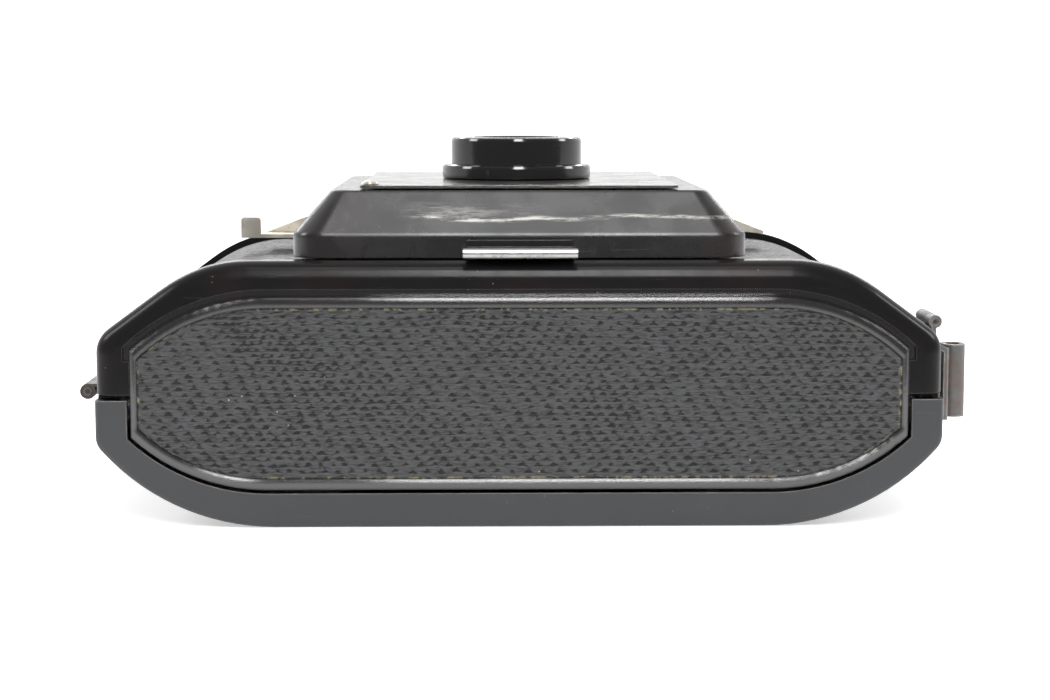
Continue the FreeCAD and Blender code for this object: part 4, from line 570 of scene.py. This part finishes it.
def outline_half_width(node):
    """The half width of a flat panel at any height, read from the panel's own outline."""
    corners = sorted(
        {(round(v.co.z, 6), round(v.co.x, 6)) for v in NODES[node].data.vertices if v.co.x > 0})
    heights = sorted({z for z, _ in corners})
    widest = [(z, max(x for h, x in corners if h == z)) for z in heights]
    low, high = widest[0][0], widest[-1][0]

    def half_width(z):
        z = min(max(z, low), high)
        for (z0, x0), (z1, x1) in zip(widest, widest[1:]):
            if z <= z1:
                return x0 + (x1 - x0) * (z - z0) / (z1 - z0)
        return widest[-1][1]

    return half_width, low, high


def smooth(mesh):
    """Shades every face smooth."""
    mesh.polygons.foreach_set("use_smooth", [True] * len(mesh.polygons))
    mesh.update()


def end_leather(node, side, material):
    """A pressed leather panel on one end of the body; side is -1 below and 1 above."""
    sizes = bpy.context.scene.leather_sizes
    half_width, low, high = outline_half_width(node)
    near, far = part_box(node)
    face = near.y if side < 0 else far.y
    back = far.y if side < 0 else near.y
    widest = max(half_width(low + (high - low) * k / 40) for k in range(41))
    columns = int(2 * widest / sizes.step_along)
    rows = int((high - low) / sizes.step_across)
    bm = bmesh.new()
    bmesh.ops.create_grid(bm, x_segments=columns, y_segments=rows, size=1)
    pit_layer = bm.verts.layers.float.new("pit")
    rim_layer = bm.verts.layers.float.new("rim")
    known = {}
    for vert in bm.verts:
        z = low + (vert.co.y + 1) / 2 * (high - low)
        x = vert.co.x * half_width(z)
        edge = min(half_width(z) - abs(x), z - low, high - z)
        inner = min(1.0, edge / EDGE_FADE)
        pit = pit_at(x, z, sizes, known) * inner
        vert[pit_layer] = pit
        vert[rim_layer] = 1 - min(1.0, edge / (0.42 * MM))
        swell = noise.noise(Vector((x * 330, z * 620, 0.4)))
        sunk = (sizes.pit_depth * pit + GRAIN_SINK * (1 - swell)) * inner
        rolled = 0.16 * MM * (1 - min(1.0, edge / (0.5 * MM))) ** 2
        vert.co = Vector((x, face - side * (sunk + rolled), z))
    rim = [edge for edge in bm.edges if edge.is_boundary]
    wall = bmesh.ops.extrude_edge_only(bm, edges=rim)["geom"]
    lower = [part for part in wall if isinstance(part, bmesh.types.BMVert)]
    for vert in lower:
        vert.co.y = back
    bmesh.ops.holes_fill(bm, edges=[edge for edge in bm.edges if edge.is_boundary], sides=0)
    bmesh.ops.recalc_face_normals(bm, faces=bm.faces)
    return new_piece(node + "_pressed", bm, material, "camera_body", "leatherette", node)


def new_piece(name, bm, material, body, slot, *replaced):
    """Makes a smooth-shaded piece of a bmesh, which rides on a body and may stand for CAD nodes."""
    mesh = bpy.data.meshes.new(name)
    bm.to_mesh(mesh)
    bm.free()
    smooth(mesh)
    mesh.materials.append(material)
    piece = bpy.data.objects.new(name, mesh)
    bpy.context.scene.collection.objects.link(piece)
    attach(piece, body)
    if replaced:
        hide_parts(*replaced)
    return piece


def skin_profile(node, side):
    """The skin's outer profile over the front (side 1) or back (side -1), clockwise from the joint."""
    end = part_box(node)[0].y
    points = sorted({(round(v.co.x, 6), round(v.co.z, 6)) for v in NODES[node].data.vertices
                     if v.co.y < end + 0.01 * MM})
    hull = [Vector(points[n]) for n in convex_hull_2d([Vector(point) for point in points])]
    hull.reverse()
    start = max(range(len(hull)), key=lambda n: (round(-side * hull[n].y, 5), -side * hull[n].x))
    return hull[start:] + hull[:start]


def walk(profile, distance):
    """Point and outward direction at a distance along a profile."""
    for here, ahead in zip(profile, profile[1:]):
        length = (ahead - here).length
        if distance <= length or ahead is profile[-1]:
            step = (ahead - here) / length
            return here + step * min(distance, length), Vector((-step.y, step.x))
        distance -= length
    raise ValueError("a profile needs two points")


def hole_gap(x, y, hole):
    """Distance from a point to the edge of a round-cornered hole; below 0 inside it."""
    centre_x, centre_y, half_x, half_y, corner = hole
    over_x = abs(x - centre_x) - half_x + corner
    over_y = abs(y - centre_y) - half_y + corner
    return math.hypot(max(over_x, 0), max(over_y, 0)) + min(max(over_x, over_y), 0) - corner


def mouth_hole():
    """The opening round the tunnel collar's flange."""
    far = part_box("tunnel_collar")[1]
    return [(0, 0, far.x + HOLE_CLEARANCE, far.y + HOLE_CLEARANCE, MOUTH_CORNER)]


def window_holes():
    """The openings round the two film windows' rings."""
    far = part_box("window_rings")[1]
    radius = far.x + HOLE_CLEARANCE
    return [(0, side * (far.y - far.x), radius, radius, radius) for side in (-1, 1)]


def cut_hole(bm, hole):
    """Removes the faces in a hole and draws the edge that is left onto the hole's outline."""
    inside = [face for face in bm.faces
              if hole_gap(face.calc_center_median().x, face.calc_center_median().y, hole) < 0]
    edges = {edge for face in inside for edge in face.edges}
    bmesh.ops.delete(bm, geom=inside, context="FACES")
    nudge = 0.01 * MM
    for vert in {vert for edge in edges if edge.is_valid and edge.is_boundary for vert in edge.verts}:
        x, y = vert.co.x, vert.co.y
        gap = hole_gap(x, y, hole)
        slope = Vector((hole_gap(x + nudge, y, hole) - gap, hole_gap(x, y + nudge, hole) - gap)) / nudge
        vert.co.x -= gap * slope.x
        vert.co.y -= gap * slope.y


def wrap_leather(node, side, material, body, holes):
    """Grained leather wrapped round the body, over its front (side 1) or its back (side -1)."""
    sizes = bpy.context.scene.leather_sizes
    profile = skin_profile(node, side)
    total = sum((b - a).length for a, b in zip(profile, profile[1:]))
    near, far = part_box(node)
    columns = int(total / sizes.wrap_step)
    rows = int((far.y - near.y) / sizes.wrap_step)
    bm = bmesh.new()
    bmesh.ops.create_grid(bm, x_segments=columns, y_segments=rows, size=1)
    pit_layer = bm.verts.layers.float.new("pit")
    rim_layer = bm.verts.layers.float.new("rim")
    places = {}
    known = {}
    for vert in bm.verts:
        along = (vert.co.x + 1) / 2 * total
        y = near.y + (vert.co.y + 1) / 2 * (far.y - near.y)
        if along not in places:
            places[along] = walk(profile, along)
        spot, outward = places[along]
        edge = min(y - near.y, far.y - y, along, total - along)
        inner = min(1.0, edge / EDGE_FADE)
        pit = pit_at(along, y, sizes, known) * inner
        vert[pit_layer] = pit
        vert[rim_layer] = 0.6 * (1 - min(1.0, edge / (0.7 * MM)))
        sunk = sizes.pit_depth * pit + GRAIN_SINK
        vert.co = Vector((spot.x - outward.x * sunk, y, spot.y - outward.y * sunk))
    for hole in holes:
        cut_hole(bm, hole)
    bmesh.ops.recalc_face_normals(bm, faces=bm.faces)
    bmesh.ops.solidify(
        bm, geom=bm.faces[:] + bm.edges[:] + bm.verts[:], thickness=WRAP_THICKNESS)
    return new_piece(node + "_wrapped", bm, material, body, "leatherette", node)


def strip(bm, low, high):
    """Adds a box between two corners to a bmesh, with its edges rounded a little."""
    made = bmesh.ops.create_cube(bm, size=1)
    middle = [(a + b) / 2 for a, b in zip(low, high)]
    bmesh.ops.scale(bm, vec=[b - a for a, b in zip(low, high)], verts=made["verts"])
    bmesh.ops.translate(bm, vec=middle, verts=made["verts"])
    edges = {edge for vert in made["verts"] for edge in vert.link_edges}
    bmesh.ops.bevel(
        bm, geom=list(edges), offset=0.1 * MM, offset_type="OFFSET", segments=2, profile=0.5,
        affect="EDGES", material=-1)


def light_seal(side, material):
    """Felt in the joint beside the back, with a return at each end behind the end plates."""
    shell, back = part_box("front_shell"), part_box("back_shell")
    clear = 0.04 * MM
    low, high = back[1].z + clear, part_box("front_leather")[0].z - clear
    outer = shell[1].x - 0.4 * MM
    inner = shell[1].x - 2.4 * MM
    pad_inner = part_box("end_leather_bottom")[1].x + 1.4 * MM
    end = -shell[0].y - 1.8 * MM
    pad_start = end - 2.8 * MM
    bm = bmesh.new()
    for x0, x1, y0, y1 in ((inner, outer, -end, end), (pad_inner, inner, -end, -pad_start),
                           (pad_inner, inner, pad_start, end)):
        strip(bm, (min(side * x0, side * x1), y0, low), (max(side * x0, side * x1), y1, high))
    name = "light_seal_left" if side < 0 else "light_seal_right"
    return new_piece(name, bm, material, "camera_body", "matt_black")


# ---------------------------------------------------------------- operators


class FOLDCAM_OT_casing(bpy.types.Operator):
    """Enamels the two shells and the end plates"""

    bl_idname = "foldcam.casing"
    bl_label = "Casing"

    def execute(self, context):
        colours = look()
        coat(enamel("casing_enamel", 0.2, 0.2, shine=1.2), "front_shell")
        coat(enamel("end_plate_enamel", 0.07, 0.08, soft=0.9 * MM, shine=1.8),
             "end_plate_bottom", "end_plate_top")
        coat(enamel("back_enamel", colours.satin, 0.9, colour=colours.satin_colour, shine=1.4), "back_shell")
        return {"FINISHED"}


class FOLDCAM_OT_hood(bpy.types.Operator):
    """Enamels the lens hood and its pull tabs"""

    bl_idname = "foldcam.hood"
    bl_label = "Hood and Tabs"

    def execute(self, context):
        colours = look()
        coat(enamel("hood_enamel", colours.gloss * 1.8, 0.15, streak=hood_streak_and_highlight, soft=0.5 * MM), "lens_hood")
        coat(tab_metal("tab_metal"), "pull_tab_bottom", "pull_tab_top")
        return {"FINISHED"}


class FOLDCAM_OT_lens(bpy.types.Operator):
    """Finishes the lens plate, ring, barrel and glasses"""

    bl_idname = "foldcam.lens"
    bl_label = "Lens"

    def execute(self, context):
        colours = look()
        coat(enamel("ring_enamel", 0.1, 0.2, dust=0.1), "lens_flange", "lens_ring")
        coat(matt_paint("barrel_paint"), "lens_barrel", "shutter_board", "shutter_sector")
        coat(enamel("plate_enamel", 0.2, 0.9, colour=PLATE_COLOUR, dust=0.8), "lens_plate")
        coat(plated("retainer_nickel", colours.nickel_colour, 0.24, 0.2), "lens_retainer", "time_slide")
        coat(plated("screw_nickel", colours.nickel_colour, 0.3, 0.6), "plate_screws")
        coat(clear_glass("lens_glass", LENS_TINT), "front_lens", "rear_lens")
        return {"FINISHED"}


class FOLDCAM_OT_tunnels(bpy.types.Operator):
    """Paints the sliding tunnels and the film chamber dull black"""

    bl_idname = "foldcam.tunnels"
    bl_label = "Tunnels and Chamber"

    def execute(self, context):
        coat(matt_paint("chamber_paint"), "film_chamber", "inner_tunnel", "middle_tunnel",
             "tunnel_collar", "pressure_plate", "take_up_spool")
        return {"FINISHED"}


class FOLDCAM_OT_leather(bpy.types.Operator):
    """Presses the grain into the leather on the ends and wraps the body's"""

    bl_idname = "foldcam.leather"
    bl_label = "Leather"

    def execute(self, context):
        pressed = leather_surface("end_leather", "Z")
        end_leather("end_leather_bottom", -1, pressed)
        end_leather("end_leather_top", 1, pressed)
        wrapped = leather_surface("wrap_leather", "Y")
        wrap_leather("front_leather", 1, wrapped, "camera_body", mouth_hole())
        wrap_leather("back_leather", -1, wrapped, "back", window_holes())
        return {"FINISHED"}


class FOLDCAM_OT_metalwork(bpy.types.Operator):
    """Plates the levers, hinge, latch, rollers and screws"""

    bl_idname = "foldcam.metalwork"
    bl_label = "Metalwork"

    def execute(self, context):
        colours = look()
        coat(plated("lever_nickel", LEVER_COLOUR, 0.38, 0.15), "release_lever",
             "side_guard_left", "side_guard_right")
        coat(plated("fitting_nickel", colours.nickel_colour, 0.28, 0.45), "film_roller_left",
             "film_roller_right", "finder_screws", "hinge_rivets_body", "hinge_rivets_back", "window_rings")
        coat(hinge_metal("hinge_brass"), "hinge_leaf_body", "hinge_leaf_back")
        coat(worn_steel("latch_steel", colours.latch_colour, 0.55), "latch_lever", "latch_keeper")
        coat(worn_steel("bracket_steel", BRACKET_COLOUR, 0.3, 0.3), "latch_bracket", "hinge_pin", "latch_pin")
        coat(plated("spring_steel", colours.spring_colour, 0.3, 0.3), "click_spring",
             "ratchet_wheel", "spool_stud_take_up", "spool_stud_supply_bottom", "spool_stud_supply_top",
             "pressure_springs")
        coat(plated("bush_brass", colours.brass_colour, 0.28, 0.35), "winder_bush", "winding_shaft")
        return {"FINISHED"}


class FOLDCAM_OT_seals(bpy.types.Operator):
    """Lays felt in the joint between the casing halves"""

    bl_idname = "foldcam.seals"
    bl_label = "Light Seals"

    def execute(self, context):
        black = felt("seal_felt")
        light_seal(-1, black)
        light_seal(1, black)
        return {"FINISHED"}


class FOLDCAM_OT_winding_knob(bpy.types.Operator):
    """Enamels the winding knob"""

    bl_idname = "foldcam.winding_knob"
    bl_label = "Winding Knob"

    def execute(self, context):
        coat(enamel("knob_enamel", look().gloss, 1.0), "winding_knob")
        return {"FINISHED"}


class FOLDCAM_OT_windows(bpy.types.Operator):
    """Finishes the finder and the red film windows"""

    bl_idname = "foldcam.windows"
    bl_label = "Finder and Windows"

    def execute(self, context):
        coat(enamel("finder_enamel", look().gloss, 0.9), "finder_housing")
        coat(clear_glass("finder_glass", FINDER_TINT), "finder_front_lens", "finder_eye_lens")
        coat(clear_glass("red_glass", look().red_colour, 0.05), "red_windows")
        return {"FINISHED"}


def aim(obj, target):
    """Turns a light so that it shines at a point."""
    obj.rotation_euler = (Vector(target) - obj.location).to_track_quat("-Z", "Y").to_euler()


def soft_light(name, place, size, power):
    """A rectangular soft light that shines at the middle of the object."""
    data = bpy.data.lights.new(name, "AREA")
    data.shape = "RECTANGLE"
    data.size, data.size_y = size
    data.energy = power
    made = bpy.data.objects.new(name, data)
    bpy.context.scene.collection.objects.link(made)
    made.location = place
    aim(made, (CAD_BOX[0] + CAD_BOX[1]) / 2)


def studio_world():
    """Even white behind the object, and darker overhead and towards the eye."""
    sky = Finish("studio_world", "worlds", "Generated")
    depth = sky.ramp(sky.axis("Y"), -0.35, 0.9, 0.36, 1.7)
    seen = sky.add("ShaderNodeLightPath").outputs["Is Camera Ray"]
    strength = sky.add("ShaderNodeMix", {0: seen, 2: depth, 3: 1.6}).outputs[0]
    background = sky.add("ShaderNodeBackground", {"Strength": strength})
    sky.add("ShaderNodeOutputWorld", {"Surface": background.outputs[0]})
    bpy.context.scene.world = sky.material


class FOLDCAM_OT_studio(bpy.types.Operator):
    """Lays the floor and sets the lights and the camera"""

    bl_idname = "foldcam.studio"
    bl_label = "Studio"

    def execute(self, context):
        studio = context.scene.studio_settings
        bm = bmesh.new()
        bmesh.ops.create_grid(bm, x_segments=1, y_segments=1, size=studio.floor_width / 2)
        bmesh.ops.translate(
            bm, verts=bm.verts,
            vec=(0, studio.floor_width / 2 - studio.floor_front, CAD_BOX[0].z - 0.05 * MM))
        mesh = bpy.data.meshes.new("studio_floor")
        bm.to_mesh(mesh)
        bm.free()
        paper = Finish("floor_paper")
        tone = paper.mix(paper.noise(3), studio.floor_colour, tuple(0.985 * c for c in studio.floor_colour))
        mesh.materials.append(paper.close(
            Base_Color=tone, Roughness=0.75, Emission_Color=studio.floor_colour, Emission_Strength=0.55))
        floor = bpy.data.objects.new("studio_floor", mesh)
        context.scene.collection.objects.link(floor)
        studio_world()
        for light in LIGHTS:
            soft_light(*light)
        data = bpy.data.cameras.new("studio_eye")
        data.lens = studio.eye_lens
        data.sensor_width = 36
        data.clip_start = 0.01
        eye = bpy.data.objects.new("studio_eye", data)
        context.scene.collection.objects.link(eye)
        eye.location = (studio.eye_side, -studio.eye_distance, studio.eye_height)
        eye.rotation_euler = (math.pi / 2 - studio.eye_tilt, 0, studio.eye_turn)
        context.scene.camera = eye
        context.scene.view_settings.view_transform = "Standard"
        return {"FINISHED"}


class FOLDCAM_PT_panel(bpy.types.Panel):
    """Lists the camera's pieces and settings"""

    bl_idname = "FOLDCAM_PT_panel"
    bl_label = "Folding Camera"
    bl_space_type = "VIEW_3D"
    bl_region_type = "UI"
    bl_category = "Folding Camera"

    def draw(self, context):
        for operator in OPERATORS:
            self.layout.operator(operator.bl_idname)
        for group in SETTINGS:
            settings = getattr(context.scene, group)
            for name in settings.__annotations__:
                self.layout.prop(settings, name)


SETTINGS = {
    "camera_finishes": CameraFinishes,
    "leather_sizes": LeatherSizes,
    "studio_settings": StudioSettings,
}
OPERATORS = (
    FOLDCAM_OT_casing,
    FOLDCAM_OT_hood,
    FOLDCAM_OT_lens,
    FOLDCAM_OT_tunnels,
    FOLDCAM_OT_leather,
    FOLDCAM_OT_metalwork,
    FOLDCAM_OT_seals,
    FOLDCAM_OT_winding_knob,
    FOLDCAM_OT_windows,
    FOLDCAM_OT_studio,
)


def register():
    for group in SETTINGS.values():
        bpy.utils.register_class(group)
    for name, group in SETTINGS.items():
        setattr(bpy.types.Scene, name, PointerProperty(type=group))
    for operator in OPERATORS:
        bpy.utils.register_class(operator)
    bpy.utils.register_class(FOLDCAM_PT_panel)


def unregister():
    bpy.utils.unregister_class(FOLDCAM_PT_panel)
    for operator in reversed(OPERATORS):
        bpy.utils.unregister_class(operator)
    for name in SETTINGS:
        delattr(bpy.types.Scene, name)
    for group in SETTINGS.values():
        bpy.utils.unregister_class(group)


def main():
    register()
    bpy.ops.foldcam.casing()
    bpy.ops.foldcam.hood()
    bpy.ops.foldcam.lens()
    bpy.ops.foldcam.tunnels()
    bpy.ops.foldcam.leather()
    bpy.ops.foldcam.metalwork()
    bpy.ops.foldcam.seals()
    bpy.ops.foldcam.winding_knob()
    bpy.ops.foldcam.windows()
    bpy.ops.foldcam.studio()


if __name__ == "__main__":
    main()
